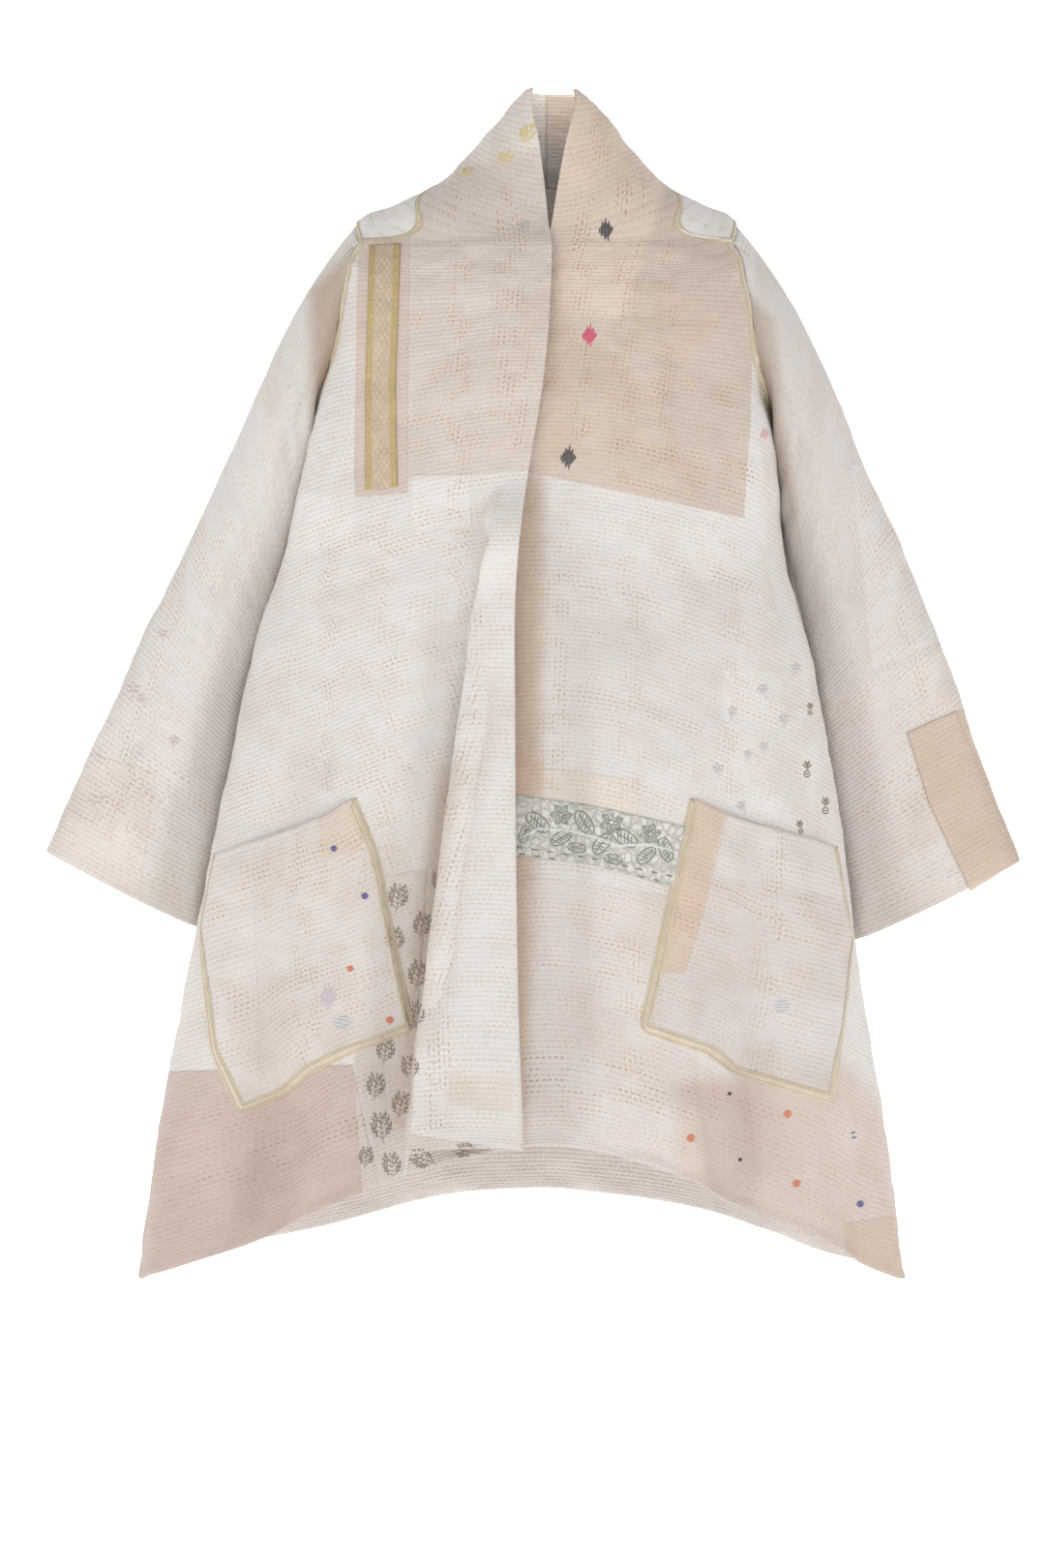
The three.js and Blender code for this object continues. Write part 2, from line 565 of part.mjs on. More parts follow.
const { Manifold, Mesh } = wasm;
function solid(geometry) {
  return new Manifold(
    new Mesh({
      numProp: 3,
      vertProperties: new Float32Array(geometry.getAttribute("position").array),
      triVerts: new Uint32Array(geometry.index.array),
    }),
  );
}
function geometryOf(made) {
  const mesh = made.getMesh();
  return new THREE.BufferGeometry()
    .setAttribute("position", new THREE.Float32BufferAttribute(mesh.vertProperties, 3))
    .setIndex(Array.from(mesh.triVerts));
}

// The panels. Each is cut on its own and kept a hair away from its neighbours.
const rightFront = frontSheet(-1);
const leftFront = frontSheet(1);
const back = backSheet();
add("front_right", thicken(rightFront, -OUTER, OUTER));
add("front_left", thicken(leftFront, -OUTER, OUTER));
add("back", thicken(back, -OUTER, OUTER));
const SIDES = [["right", -1], ["left", 1]];
for (const [name, side] of SIDES) add("sleeve_" + name, thicken(sleeveSheet(side), -OUTER, OUTER));

// Only the columns outside the pleat, so that a piece seen from the front lies on one layer of cloth.
const outsidePleat = (face) => face.every((i) => rightFront.columns[i] >= PLEAT_END);
const fronts = {
  right: { ...rightFront, triangles: rightFront.triangles.filter(outsidePleat) },
  left: leftFront,
};

// A pocket is a slanted patch with tape over three of its edges; its top edge is open.
const POCKET_FROM = OUTER + 0.5;
const POCKET_TO = POCKET_FROM + POCKET_CLOTH;
const BORDER_FROM = OUTER + 0.4;
const BORDER_TO = BORDER_FROM + BORDER_CLOTH;
// The outline moved in by the tape's width, but left long where the pocket is open.
function insetOutline(outline, width, open) {
  const size = outline.length;
  const centre = middleOf(outline);
  const lines = outline.map(([x0, z0], i) => {
    const [x1, z1] = outline[(i + 1) % size];
    const long = Math.hypot(x1 - x0, z1 - z0);
    let [nx, nz] = [-(z1 - z0) / long, (x1 - x0) / long];
    if (nx * (centre[0] - x0) + nz * (centre[1] - z0) < 0) [nx, nz] = [-nx, -nz];
    const move = i < open ? -width : width;
    return { nx, nz, d: nx * x0 + nz * z0 + move };
  });
  return lines.map((line, i) => {
    const before = lines[(i + size - 1) % size];
    const det = before.nx * line.nz - before.nz * line.nx;
    return [(before.d * line.nz - line.d * before.nz) / det, (before.nx * line.d - line.nx * before.d) / det];
  });
}
for (const [name] of SIDES) {
  const outline = POCKETS[name];
  const piece = clip(fronts[name], outline);
  add("pocket_" + name, thicken(piece, POCKET_FROM, POCKET_TO));
  const whole = solid(thicken(piece, POCKET_TO + SEAM_GAP, POCKET_TO + SEAM_GAP + TAPE));
  const middle = clip(fronts[name], insetOutline(outline, TAPE_WIDTH, 1));
  const frame = whole.subtract(solid(thicken(middle, POCKET_TO - 1, POCKET_TO + 3)));
  add("pocket_tape_" + name, geometryOf(frame), TAPE_BEIGE);
}
add("gold_border", thicken(clip(fronts.right, GOLD_BORDER), BORDER_FROM, BORDER_TO), GOLD);
add("silver_border", thicken(clip(fronts.left, SILVER_BORDER), BORDER_FROM, BORDER_TO), SILVER);
const sleeveFront = sleeveSheet(1, { keep: (row, turn) => row >= 3 && turn < 0.5 - 1e-6 });
add("cuff_patch", thicken(clip(sleeveFront, CUFF_PATCH), BORDER_FROM, BORDER_TO), BEIGE);

// Tape over the seams, a little off the cloth.
const TAPE_FROM = OUTER + 0.9;
const TAPE_TO = TAPE_FROM + TAPE;
const ARMHOLE_TAPE_LIFT = 1.2;
const ARMHOLE_TAPE_COLUMNS = chain(SLEEVE_COLUMNS, spread(ARMHOLE_TOP.start, ARMHOLE_TOP.end, 10));
const acrossTape = [-TAPE_WIDTH / 2, 0, TAPE_WIDTH / 2];
for (const [name, side] of SIDES) {
  const shoulderPoint = (row, width) =>
    bodyPoint(row, side * (ring(row).armFront + width / frontLength(row, side)));
  const shoulder = sheet(spread(SHOULDER_TIP + 0.3, NECK - 0.15, 6), acrossTape, shoulderPoint, {
    flip: side < 0, step: 0.05,
  });
  add("shoulder_tape_" + name, thicken(shoulder, TAPE_FROM, TAPE_TO), TAPE_BEIGE);
}
for (const [name, side] of SIDES) {
  const loop = sheet([0.6, TAPE_WIDTH], ARMHOLE_TAPE_COLUMNS, (inset, turn) => armholePoint(side, turn, inset), {
    flip: side > 0, closed: true, step: 0.004,
  });
  const [from, to] = [TAPE_FROM + ARMHOLE_TAPE_LIFT, TAPE_TO + ARMHOLE_TAPE_LIFT];
  add("armhole_tape_" + name, thicken(loop, from, to), TAPE_BEIGE);
  const seamPoint = (row, width) => sleevePoint(side, row, width / SLEEVE_GIRTH);
  const seam = sheet(spread(1.3, 5.95, 10), acrossTape, seamPoint, { flip: side > 0, step: 0.05 });
  add("sleeve_tape_" + name, thicken(seam, TAPE_FROM, TAPE_TO), TAPE_BEIGE);
}
const NECK_TAPE_ROWS = [NECK - 0.13, NECK, NECK + 0.13];
const NECK_TAPE_START = RINGS[NECK].armFront + 0.08;
const neckTapePoint = (row, k) =>
  bodyPoint(row, k < 0 ? -lerp(NECK_TAPE_START, 2, 1 + k) : lerp(NECK_TAPE_START, 2, 1 - k));
const neckTape = sheet(NECK_TAPE_ROWS, spread(-1, 1, 32), neckTapePoint, { flip: true, step: 0.005 });
add("neck_tape", thicken(neckTape, TAPE_FROM, TAPE_TO), TAPE_BEIGE);
const collarTapePoint = (row, width) =>
  bodyPoint(row, width < 0 ? -2 - width / frontLength(row, -1) : 2 - width / frontLength(row, 1));
const collarTape = sheet(spread(NECK + 0.22, COLLAR_TOP - 0.02, 8), acrossTape, collarTapePoint, {
  flip: true, step: 0.05,
});
add("collar_tape", thicken(collarTape, TAPE_FROM, TAPE_TO), TAPE_BEIGE);

export default jacket;
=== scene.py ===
"""Dresses the quilted patchwork jacket: its panels, pockets, tape, borders, stitches and small motifs.

Lengths in the tables are millimetres in the part's frame: +Z up, the front faces -Y, the wearer's
right is -X. Meshes are made in metres.
"""

from __future__ import annotations

import logging
import math
from dataclasses import dataclass, field
from enum import Enum
from typing import Sequence

import bpy
import numpy as np
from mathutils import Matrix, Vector
from mathutils.bvhtree import BVHTree

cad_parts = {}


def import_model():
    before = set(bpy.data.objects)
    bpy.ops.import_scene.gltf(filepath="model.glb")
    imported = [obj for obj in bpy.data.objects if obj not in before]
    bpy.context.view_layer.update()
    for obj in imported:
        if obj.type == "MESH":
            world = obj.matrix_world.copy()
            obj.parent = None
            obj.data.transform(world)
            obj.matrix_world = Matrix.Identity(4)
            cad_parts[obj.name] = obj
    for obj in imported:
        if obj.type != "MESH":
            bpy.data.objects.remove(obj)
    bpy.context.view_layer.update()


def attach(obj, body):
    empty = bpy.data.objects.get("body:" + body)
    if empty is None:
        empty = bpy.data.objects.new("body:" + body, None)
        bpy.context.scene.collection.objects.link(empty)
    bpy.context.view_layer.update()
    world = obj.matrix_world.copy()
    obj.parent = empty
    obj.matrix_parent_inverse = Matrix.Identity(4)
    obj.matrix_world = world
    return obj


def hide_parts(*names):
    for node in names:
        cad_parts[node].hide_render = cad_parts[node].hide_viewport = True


log = logging.getLogger("kantha_jacket")

MM = 0.001
EYE = np.array([-21.5, -4000.0, -529.0])
Array = np.ndarray
Outline = Sequence[tuple[float, float]]


@dataclass(frozen=True)
class Ring:
    """One ring of the body's form, from the hem up, as in the part's own table."""

    name: str
    front_z: float
    side_z: float
    back_z: float
    right: float
    left: float
    front: float
    back: float
    square: float
    edge_right: float
    edge_left: float
    arm_front: float = 1.0
    arm_back: float = 0.0
    rise: float = 1.0


RINGS = (
    Ring("hem", -838, -967, -902, 361, 316, 168, 165, 2.1, -20, -62),
    Ring("lower hip", -720, -838, -785, 344, 299, 160, 158, 2.1, -24, -60),
    Ring("pocket", -600, -705, -665, 319, 278, 152, 150, 2.15, -26, -57),
    Ring("hip", -480, -570, -540, 293, 260, 145, 142, 2.2, -27, -54),
    Ring("waist", -370, -440, -415, 265, 239, 140, 134, 2.3, -27, -50),
    Ring("ribs", -280, -335, -312, 237, 217, 136, 126, 2.4, -19, -43),
    Ring("underarm", -205, -240, -222, 210, 202, 130, 118, 2.5, -7, -34),
    Ring("chest", -148, -165, -150, 197, 193, 121, 111, 2.6, 0, -24, 0.82, 0.17),
    Ring("upper chest", -100, -95, -88, 186, 184, 109, 103, 2.8, 3, -14, 0.78, 0.21),
    Ring("shoulder tip", -68, -33, -42, 168, 167, 97, 95, 3.0, 4, -5, 0.8, 0.24, 8.0),
    Ring("shoulder", -55, -17, -14, 136, 139, 89, 87, 3.0, 3, 0, 0.6, 0.3, 2.4),
    Ring("neck", -40, 0, 10, 100, 106, 80, 78, 2.8, 1, 4, 0.95, 0.3),
    Ring("collar base", -8, 24, 30, 73, 81, 68, 67, 2.4, -2, 9),
    Ring("collar", 38, 56, 61, 44, 57, 55, 56, 2.2, -8, 18),
    Ring("collar top", 84, 86, 90, 17, 29, 42, 46, 2.0, -18, 33),
)
UNDERARM, SHOULDER_TIP, NECK, COLLAR_TOP = 6, 9, 11, 14


@dataclass(frozen=True)
class Fold:
    """A soft fold of the fall: shares of the half ring at the hem and at its top, outward depth."""

    side: int
    hem: float
    top: float
    fade_ring: float
    width: float
    depth: float


FOLDS = (
    Fold(-1, 0.33, 0.24, 5.5, 0.11, -9),
    Fold(-1, 0.44, 0.5, 4.5, 0.13, 10),
    Fold(-1, 0.58, 0.66, 4, 0.12, -22),
    Fold(-1, 0.78, 0.82, 4, 0.17, 20),
    Fold(1, 0.42, 0.52, 4, 0.12, -20),
    Fold(1, 0.6, 0.7, 4, 0.15, 18),
    Fold(1, 0.02, 0.05, 8.2, 0.1, -7),
    Fold(1, 0.5, 0.56, 8.6, 0.09, -3),
    Fold(-1, 1.3, 1.35, 6.5, 0.16, 16),
    Fold(-1, 1.55, 1.56, 6.5, 0.15, -18),
    Fold(-1, 1.8, 1.78, 7.5, 0.14, 14),
    Fold(1, 1.88, 1.9, 7, 0.13, -15),
    Fold(1, 1.62, 1.64, 6.8, 0.15, 16),
    Fold(1, 1.32, 1.36, 6, 0.15, -14),
)


@dataclass(frozen=True)
class Pleat:
    """The knife pleat along the right front edge: widths at its top and at the hem."""

    top_ring: float = 5.3
    strip: tuple[float, float] = (12, 103)
    under: tuple[float, float] = (9, 88)
    turn: tuple[float, float] = (6, 16)
    angle: float = 172
    lift: float = 20

    def at(self, place: float) -> tuple[float, float, float, Array]:
        """How the pleat lies at one ring.

        Args:
            place: the ring, counted from the hem.

        Returns:
            How far it is opened, the widths of its strip and of its turn, and the lengths of cloth
            at which its two turns start and end.
        """
        opened = float(np.clip((self.top_ring - place) / self.top_ring, 0, 1))
        strip, under, turn = (a + (b - a) * opened for a, b in (self.strip, self.under, self.turn))
        half, whole = turn / 2, strip + under
        return opened, strip, turn, np.array([0, strip - half, strip + half, whole - half, whole + half])


@dataclass(frozen=True)
class SleeveRow:
    """Where a sleeve's outer and inner edge run, its half depth and its middle."""

    outer_x: float
    outer_z: float
    inner_x: float
    inner_z: float
    depth: float
    middle_y: float


SLEEVE_ROWS = {
    -1: (
        SleeveRow(-212, -82, -216, -262, 62, 6),
        SleeveRow(-246, -153, -231, -312, 60, 18),
        SleeveRow(-291, -250, -251, -378, 56, 28),
        SleeveRow(-340, -356, -272, -450, 52, 32),
        SleeveRow(-386, -456, -290, -536, 47, 32),
        SleeveRow(-424, -540, -305, -606, 43, 30),
        SleeveRow(-447, -589, -314, -657, 40, 28),
    ),
    1: (
        SleeveRow(218, -90, 208, -262, 62, 6),
        SleeveRow(250, -164, 220, -315, 60, 18),
        SleeveRow(288, -258, 231, -382, 56, 28),
        SleeveRow(328, -360, 246, -455, 52, 32),
        SleeveRow(369, -462, 261, -545, 47, 32),
        SleeveRow(402, -546, 273, -615, 43, 30),
        SleeveRow(422, -598, 280, -668, 40, 28),
    ),
}


HOLLOW_BEHIND_ARM = 30
# Dents in a sleeve: share of its length, place round it, width and outward depth.
SLEEVE_DENTS = ((0.3, 0.12, 0.09, -5), (0.75, 0.3, 0.08, -5), (0.8, 0.68, 0.1, -6), (0.4, 0.85, 0.1, -6))


def smooth(x: Array | float) -> Array:
    """A soft step from 0 to 1."""
    x = np.clip(x, 0, 1)
    return x * x * (3 - 2 * x)


def bump(x: Array | float) -> Array:
    """A soft hump of height 1 between -1 and 1."""
    x = np.asarray(x, dtype=float)
    return np.where(np.abs(x) < 1, (1 - x * x) ** 2, 0.0)


def between(rows: Array, place: Array | float) -> Array:
    """Values of a table's columns at places between its rows, on a smooth curve through them.

    Args:
        rows: the table, one row each, as an array.
        place: places counted in rows, one or many.

    Returns:
        One row of values for each place.
    """
    place = np.atleast_1d(np.asarray(place, dtype=float))
    last = len(rows) - 1
    i = np.clip(np.floor(place).astype(int), 0, last - 1)
    k = (place - i)[:, None]
    p0, p1, p2, p3 = (rows[np.clip(i + d, 0, last)] for d in (-1, 0, 1, 2))
    m1, m2 = (p2 - p0) / 2, (p3 - p1) / 2
    return (
        (2 * k**3 - 3 * k**2 + 1) * p1
        + (k**3 - 2 * k**2 + k) * m1
        + (-2 * k**3 + 3 * k**2) * p2
        + (k**3 - k**2) * m2
    )


def running_sum(steps: Array) -> Array:
    """The sums of a line's steps so far, from 0."""
    return np.concatenate([[0], np.cumsum(steps)])


def lengths_along(line: Array) -> Array:
    """How far along a line of points each of them lies."""
    return running_sum(np.linalg.norm(np.diff(line, axis=0), axis=1))


def soft_noise(x: Array, y: Array, seed: int) -> Array:
    """Smooth random values between -1 and 1 on a lattice of unit cells.

    Args:
        x: first coordinate, in cells.
        y: second coordinate, in cells.
        seed: fixes the lattice.

    Returns:
        One value for each point.
    """
    lattice = np.random.default_rng(seed).uniform(-1, 1, (257, 257))
    i, j = np.floor(x).astype(int), np.floor(y).astype(int)
    u, v = smooth(x - i), smooth(y - j)
    i, j = i % 256, j % 256
    low = lattice[i, j] * (1 - u) + lattice[i + 1, j] * u
    high = lattice[i, j + 1] * (1 - u) + lattice[i + 1, j + 1] * u
    return low * (1 - v) + high * v


class BodyForm:
    """The body's form: a stack of rings, sampled finely once and read between the samples."""

    per_ring = 24
    per_quarter = 128

    def __init__(self) -> None:
        """Samples every ring's outline by its length, as points and outward directions."""
        self.names = list(Ring.__annotations__)[1:]
        table = np.array([[getattr(ring, name) for name in self.names] for ring in RINGS])
        places = np.arange((len(RINGS) - 1) * self.per_ring + 1) / self.per_ring
        self.rows = between(table, places)
        self.sides = {side: self._outlines(side) for side in (-1, 1)}
        self.pleat = Pleat()
        self.pleat_cache: dict[float, tuple[Array, Array, Array]] = {}

    def _outlines(self, side: int) -> dict[str, Array]:
        """Outlines of one side: x, y, the outward direction and the front quarter's length."""
        angle = np.linspace(0, np.pi / 2, 121)
        made: dict[str, list] = {"x": [], "y": [], "nx": [], "ny": [], "length": []}
        for row in self.rows:
            value = dict(zip(self.names, row))
            width = value["right"] if side < 0 else value["left"]
            power = 2 / value["square"]
            halves = []
            for depth, facing in ((value["front"], -1), (value["back"], 1)):
                x = width * np.sin(angle) ** power
                y = depth * np.maximum(np.cos(angle), 0) ** power
                length = running_sum(np.hypot(np.diff(x), np.diff(y)))
                even = np.linspace(0, length[-1], self.per_quarter + 1)
                halves.append((np.interp(even, length, x), facing * np.interp(even, length, y), length[-1]))
            x = np.concatenate([halves[0][0], halves[1][0][-2::-1]])
            y = np.concatenate([halves[0][1], halves[1][1][-2::-1]])
            tx, ty = np.gradient(x), np.gradient(y)
            flat = np.hypot(tx, ty)
            for key, values in (("x", side * x), ("y", y), ("nx", side * ty / flat), ("ny", -tx / flat)):
                made[key].append(values)
            made["length"].append(halves[0][2])
        return {key: np.array(values) for key, values in made.items()}

    def ring(self, place: float) -> dict[str, float]:
        """The table's values at a place between its rows."""
        at = np.clip(place * self.per_ring, 0, len(self.rows) - 1.001)
        i = int(at)
        row = self.rows[i] + (self.rows[i + 1] - self.rows[i]) * (at - i)
        return dict(zip(self.names, row))

    def length(self, place: Array | float, side: int) -> Array | float:
        """Length of the front quarter on one side of a ring, or of several."""
        lengths = self.sides[side]["length"]
        return np.interp(place * self.per_ring, np.arange(len(lengths)), lengths)

    def column(self, name: str, place: Array | float) -> Array:
        """One of the table's columns, at places between its rows."""
        samples = np.arange(len(self.rows))
        return np.interp(place * self.per_ring, samples, self.rows[:, self.names.index(name)])

    def _read(self, table: Array, place: Array, half: Array) -> Array:
        """Values of a sampled table between its samples."""
        at = np.clip(place * self.per_ring, 0, len(table) - 1.001)
        across = np.clip(half * self.per_quarter, 0, 2 * self.per_quarter - 0.001)
        i, j = at.astype(int), across.astype(int)
        u, v = at - i, across - j
        low = table[i, j] * (1 - v) + table[i, j + 1] * v
        high = table[i + 1, j] * (1 - v) + table[i + 1, j + 1] * v
        return low * (1 - u) + high * u

    def fold_depth(self, place: Array, half: Array, side: int) -> Array:
        """How far the folds lift the cloth outward."""
        depth = np.zeros_like(half)
        for fold in FOLDS:
            fade = smooth((fold.fade_ring - place) / fold.fade_ring) ** 0.8
            centre = fold.hem + (fold.top - fold.hem) * place / fold.fade_ring
            signed = half if fold.side == side else np.where(half < 1, -half, 4 - half)
            depth = depth + fold.depth * fade * bump((signed - centre) / fold.width)
        behind_arm = bump((place - 3.6) / 3.2) * bump((half - 1.24) / 0.27)
        return depth - HOLLOW_BEHIND_ARM * behind_arm

    def points(self, place: Array | float, share: Array, out: Array | float = 0.0) -> Array:
        """Points of the form.

        Args:
            place: rings counted from the hem.
            share: round from the centre front, -1 and 1 the sides, -2 and 2 the centre back.
            out: how far the points stand off the form.

        Returns:
            Points as rows of x, y and z, in millimetres.
        """
        share = np.asarray(share, dtype=float)
        place = np.broadcast_to(np.asarray(place, dtype=float), share.shape)
        out = np.broadcast_to(np.asarray(out, dtype=float), share.shape)
        result = np.zeros(share.shape + (3,))
        columns = [self.column(name, place) for name in ("front_z", "side_z", "back_z", "rise")]
        for side in (-1, 1):
            mine = (share < 0) if side < 0 else (share >= 0)
            if not mine.any():
                continue
            half = np.abs(share[mine])
            table = self.sides[side]
            move = out[mine] + self.fold_depth(place[mine], half, side)
            front_z, side_z, back_z, rise = (column[mine] for column in columns)
            z_front = front_z + (side_z - front_z) * smooth(half) ** rise
            z_back = side_z + (back_z - side_z) * smooth(half - 1)
            x, y, nx, ny = (self._read(table[key], place[mine], half) for key in ("x", "y", "nx", "ny"))
            z = np.where(half <= 1, z_front, z_back)
            result[mine] = np.stack([x + nx * move, y + ny * move, z], axis=-1)
        return result

    def pleat_plan(self, place: float) -> tuple[Array, Array, Array]:
        """The pleat's plan at one ring: lengths of cloth, how far across and how far forward."""
        key = round(place, 4)
        if key not in self.pleat_cache:
            opened, _, turn, ends = self.pleat.at(place)
            angle = math.radians(self.pleat.angle) * float(smooth(opened * 4))
            step = 0.5
            s = np.arange(0, ends[-1] + step, step)
            turned = angle * smooth((s - ends[1]) / turn) * (1 - smooth((s - ends[3]) / turn))
            across = running_sum(step * np.cos(turned))[:-1]
            forward = running_sum(-step * np.sin(turned))[:-1]
            self.pleat_cache[key] = (s, across, forward - forward[-1])
        return self.pleat_cache[key]


class Panel(Enum):
    """The cut pieces of the jacket's body and sleeves."""

    RIGHT_FRONT = "right_front"
    LEFT_FRONT = "left_front"
    BACK = "back_panel"
    RIGHT_SLEEVE = "right_sleeve"
    LEFT_SLEEVE = "left_sleeve"
    RIGHT_POCKET = "right_pocket"
    LEFT_POCKET = "left_pocket"
    CUFF_PATCH = "cuff_patch_cloth"


@dataclass
class Grid:
    """A cut piece as rows of points with its measure on the cloth and the cells that are kept."""

    points: Array
    uv: Array
    keep: Array
    outward: int
    closed: bool = False

    def normals(self) -> Array:
        """Outward directions at the points."""
        p = self.points
        if self.closed:
            wide = np.concatenate([p[:, -1:], p, p[:, :1]], axis=1)
            across = (wide[:, 2:] - wide[:, :-2]) / 2
        else:
            across = np.gradient(p, axis=1)
        normal = np.cross(across, np.gradient(p, axis=0)) * self.outward
        return normal / np.maximum(np.linalg.norm(normal, axis=-1, keepdims=True), 1e-9)


EDGE_GAP = 0.3
COLLAR_LEAN = 0.15
STAND_OFF = 7.0
STAND_OFF_WIDTH = 90.0
PLEAT_COLUMNS = np.array([0, 0.16, 0.3, 0.38, 0.52])
# About how far one ring lies above the next beside the armhole, and at the neck.
RING_STEP = 68.0
NECK_STEP = 34.0
# Round a sleeve, and where the measures across the back's middle and up to a sleeve's top start.
SLEEVE_GIRTH = 345.0
BACK_MIDDLE = 500.0
SLEEVE_TOP = 600.0


class Pattern:
    """Cuts the panels from the form."""

    def __init__(self, form: BodyForm) -> None:
        """Keeps the form and measures how far down the cloth each ring lies."""
        self.form = form
        spacing = [abs(b.side_z + b.front_z - a.side_z - a.front_z) / 2 for a, b in zip(RINGS, RINGS[1:])]
        self.down = running_sum(np.array(spacing))

    def height(self, place: float) -> float:
        """How far up the cloth from the hem a ring lies."""
        return float(np.interp(place, np.arange(len(RINGS)), self.down))

    @staticmethod
    def half_gap(place: float) -> float:
        """Half the gap at the side seam, and more at the slanting shoulder seam."""
        return EDGE_GAP if place > SHOULDER_TIP else EDGE_GAP / 2

    @staticmethod
    def stand_off(place: float, across: Array) -> Array:
        """How far the right front stands off at a length from the centre front."""
        near_edge = 1 - smooth((across - 20) / STAND_OFF_WIDTH)
        return STAND_OFF * near_edge * smooth((NECK + 0.5 - place) / 2)

    def right_front(self, place: float, column: Array) -> tuple[Array, Array]:
        """A row of the right front below the neck: points and lengths from the front edge."""
        form = self.form
        value = form.ring(place)
        s, plan_across, plan_forward = form.pleat_plan(place)
        opened, strip, _, ends = form.pleat.at(place)
        quarter = form.length(place, -1)
        outer = quarter * min(value["arm_front"], 1) - self.half_gap(place)
        edge = -value["edge_right"]
        on_pleat = column <= PLEAT_COLUMNS[-1]
        cloth = np.interp(column, PLEAT_COLUMNS, ends)
        start = edge + plan_across[-1]
        rest = (column - PLEAT_COLUMNS[-1]) / (1 - PLEAT_COLUMNS[-1])
        across = np.where(on_pleat, edge + np.interp(cloth, s, plan_across), start + (outer - start) * rest)
        forward = np.where(on_pleat, np.interp(cloth, s, plan_forward), 0.0)
        peak = np.clip(1 - np.abs(cloth - strip) / strip, 0, 1)
        lift = np.where(on_pleat, form.pleat.lift * opened * peak, 0.0)
        length = np.where(on_pleat, cloth, ends[-1] + (outer - start) * rest)
        points = form.points(place, -across / quarter - 1e-9, forward + self.stand_off(place, across))
        points[:, 2] += lift
        return points, length

    def left_front(self, place: float, column: Array) -> tuple[Array, Array]:
        """A row of the left front below the neck."""
        value = self.form.ring(place)
        quarter = self.form.length(place, 1)
        outer = quarter * min(value["arm_front"], 1) - self.half_gap(place)
        along = value["edge_left"] + (outer - value["edge_left"]) * column
        share = np.where(along < 0, along / self.form.length(place, -1), along / quarter)
        return self.form.points(place, share), along - value["edge_left"]

    def collar(self, side: int, place: float, column: Array) -> tuple[Array, Array]:
        """A row of half a collar: column 0 the front edge, 1 the shoulder, 2 the centre back."""
        value = self.form.ring(place)
        half = self.form.length(place, side)
        edge = (-value["edge_right"] if side < 0 else value["edge_left"]) / half
        seam = RINGS[NECK].arm_front + COLLAR_LEAN * float(smooth((place - NECK) / (COLLAR_TOP - NECK)))
        gap = EDGE_GAP / 2 / half
        share = np.where(column <= 1, edge + (seam - edge) * column, seam + (2 - gap - seam) * (column - 1))
        signed = side * share if side > 0 else -np.maximum(share, 1e-9)
        off = self.stand_off(place, share * half) if side < 0 else 0.0
        points = self.form.points(place, np.where(share < 0, side * share, signed), off)
        return points, (share - edge) * half

    def even_column(self, column: Array) -> Array:
        """Above the pleat the right front's columns keep the spacing they have at the neck."""
        _, length = self.right_front(NECK, np.append(column[column <= 1], 1.0))
        even = column.copy()
        even[column <= 1] = length[:-1] / length[-1]
        return even

    def front(self, side: int, rows: int, columns: int) -> Grid:
        """A whole front with its half of the collar."""
        low = np.linspace(0, NECK, rows)
        high = np.linspace(NECK, COLLAR_TOP, int(rows * 0.17))[1:]
        if side < 0:
            counts = (0.16, 0.1, 0.13, 0.1)
            parts = [
                np.linspace(a, b, max(int(columns * c), 3))[:-1]
                for a, b, c in zip(PLEAT_COLUMNS, PLEAT_COLUMNS[1:], counts)
            ]
            wide = np.concatenate([*parts, np.linspace(PLEAT_COLUMNS[-1], 1, int(columns * 0.51))])
        else:
            wide = np.linspace(0, 1, columns)
        around = np.linspace(1, 2, 46)[1:]
        cells = np.concatenate([wide, around])
        points, uv = [], []
        body = self.right_front if side < 0 else self.left_front
        beyond = np.arange(1, len(around) + 1)
        for place in low[:-1]:
            row, length = body(place, wide)
            points.append(np.concatenate([row, row[-1] + (row[-1] - row[-2]) * beyond[:, None]]))
            u = np.concatenate([length, length[-1] + (length[-1] - length[-2]) * beyond])
            uv.append(np.stack([u, np.full(len(cells), self.height(place))], axis=-1))
        even = self.even_column(cells) if side < 0 else cells
        first, second = (self.collar(side, place, even)[0] for place in (NECK, NECK + 0.04))
        points[-1][len(wide) + 1 :] = (2 * first - second)[len(wide) + 1 :]
        for place in np.concatenate([[NECK], high]):
            row, length = self.collar(side, place, even)
            points.append(row)
            uv.append(np.stack([length, np.full(len(cells), self.height(place))], axis=-1))
        keep = np.ones((len(points) - 1, len(cells) - 1), dtype=bool)
        keep[: rows - 1, len(wide) - 1 :] = False
        return Grid(np.array(points), np.array(uv), keep, 1 if side > 0 else -1)

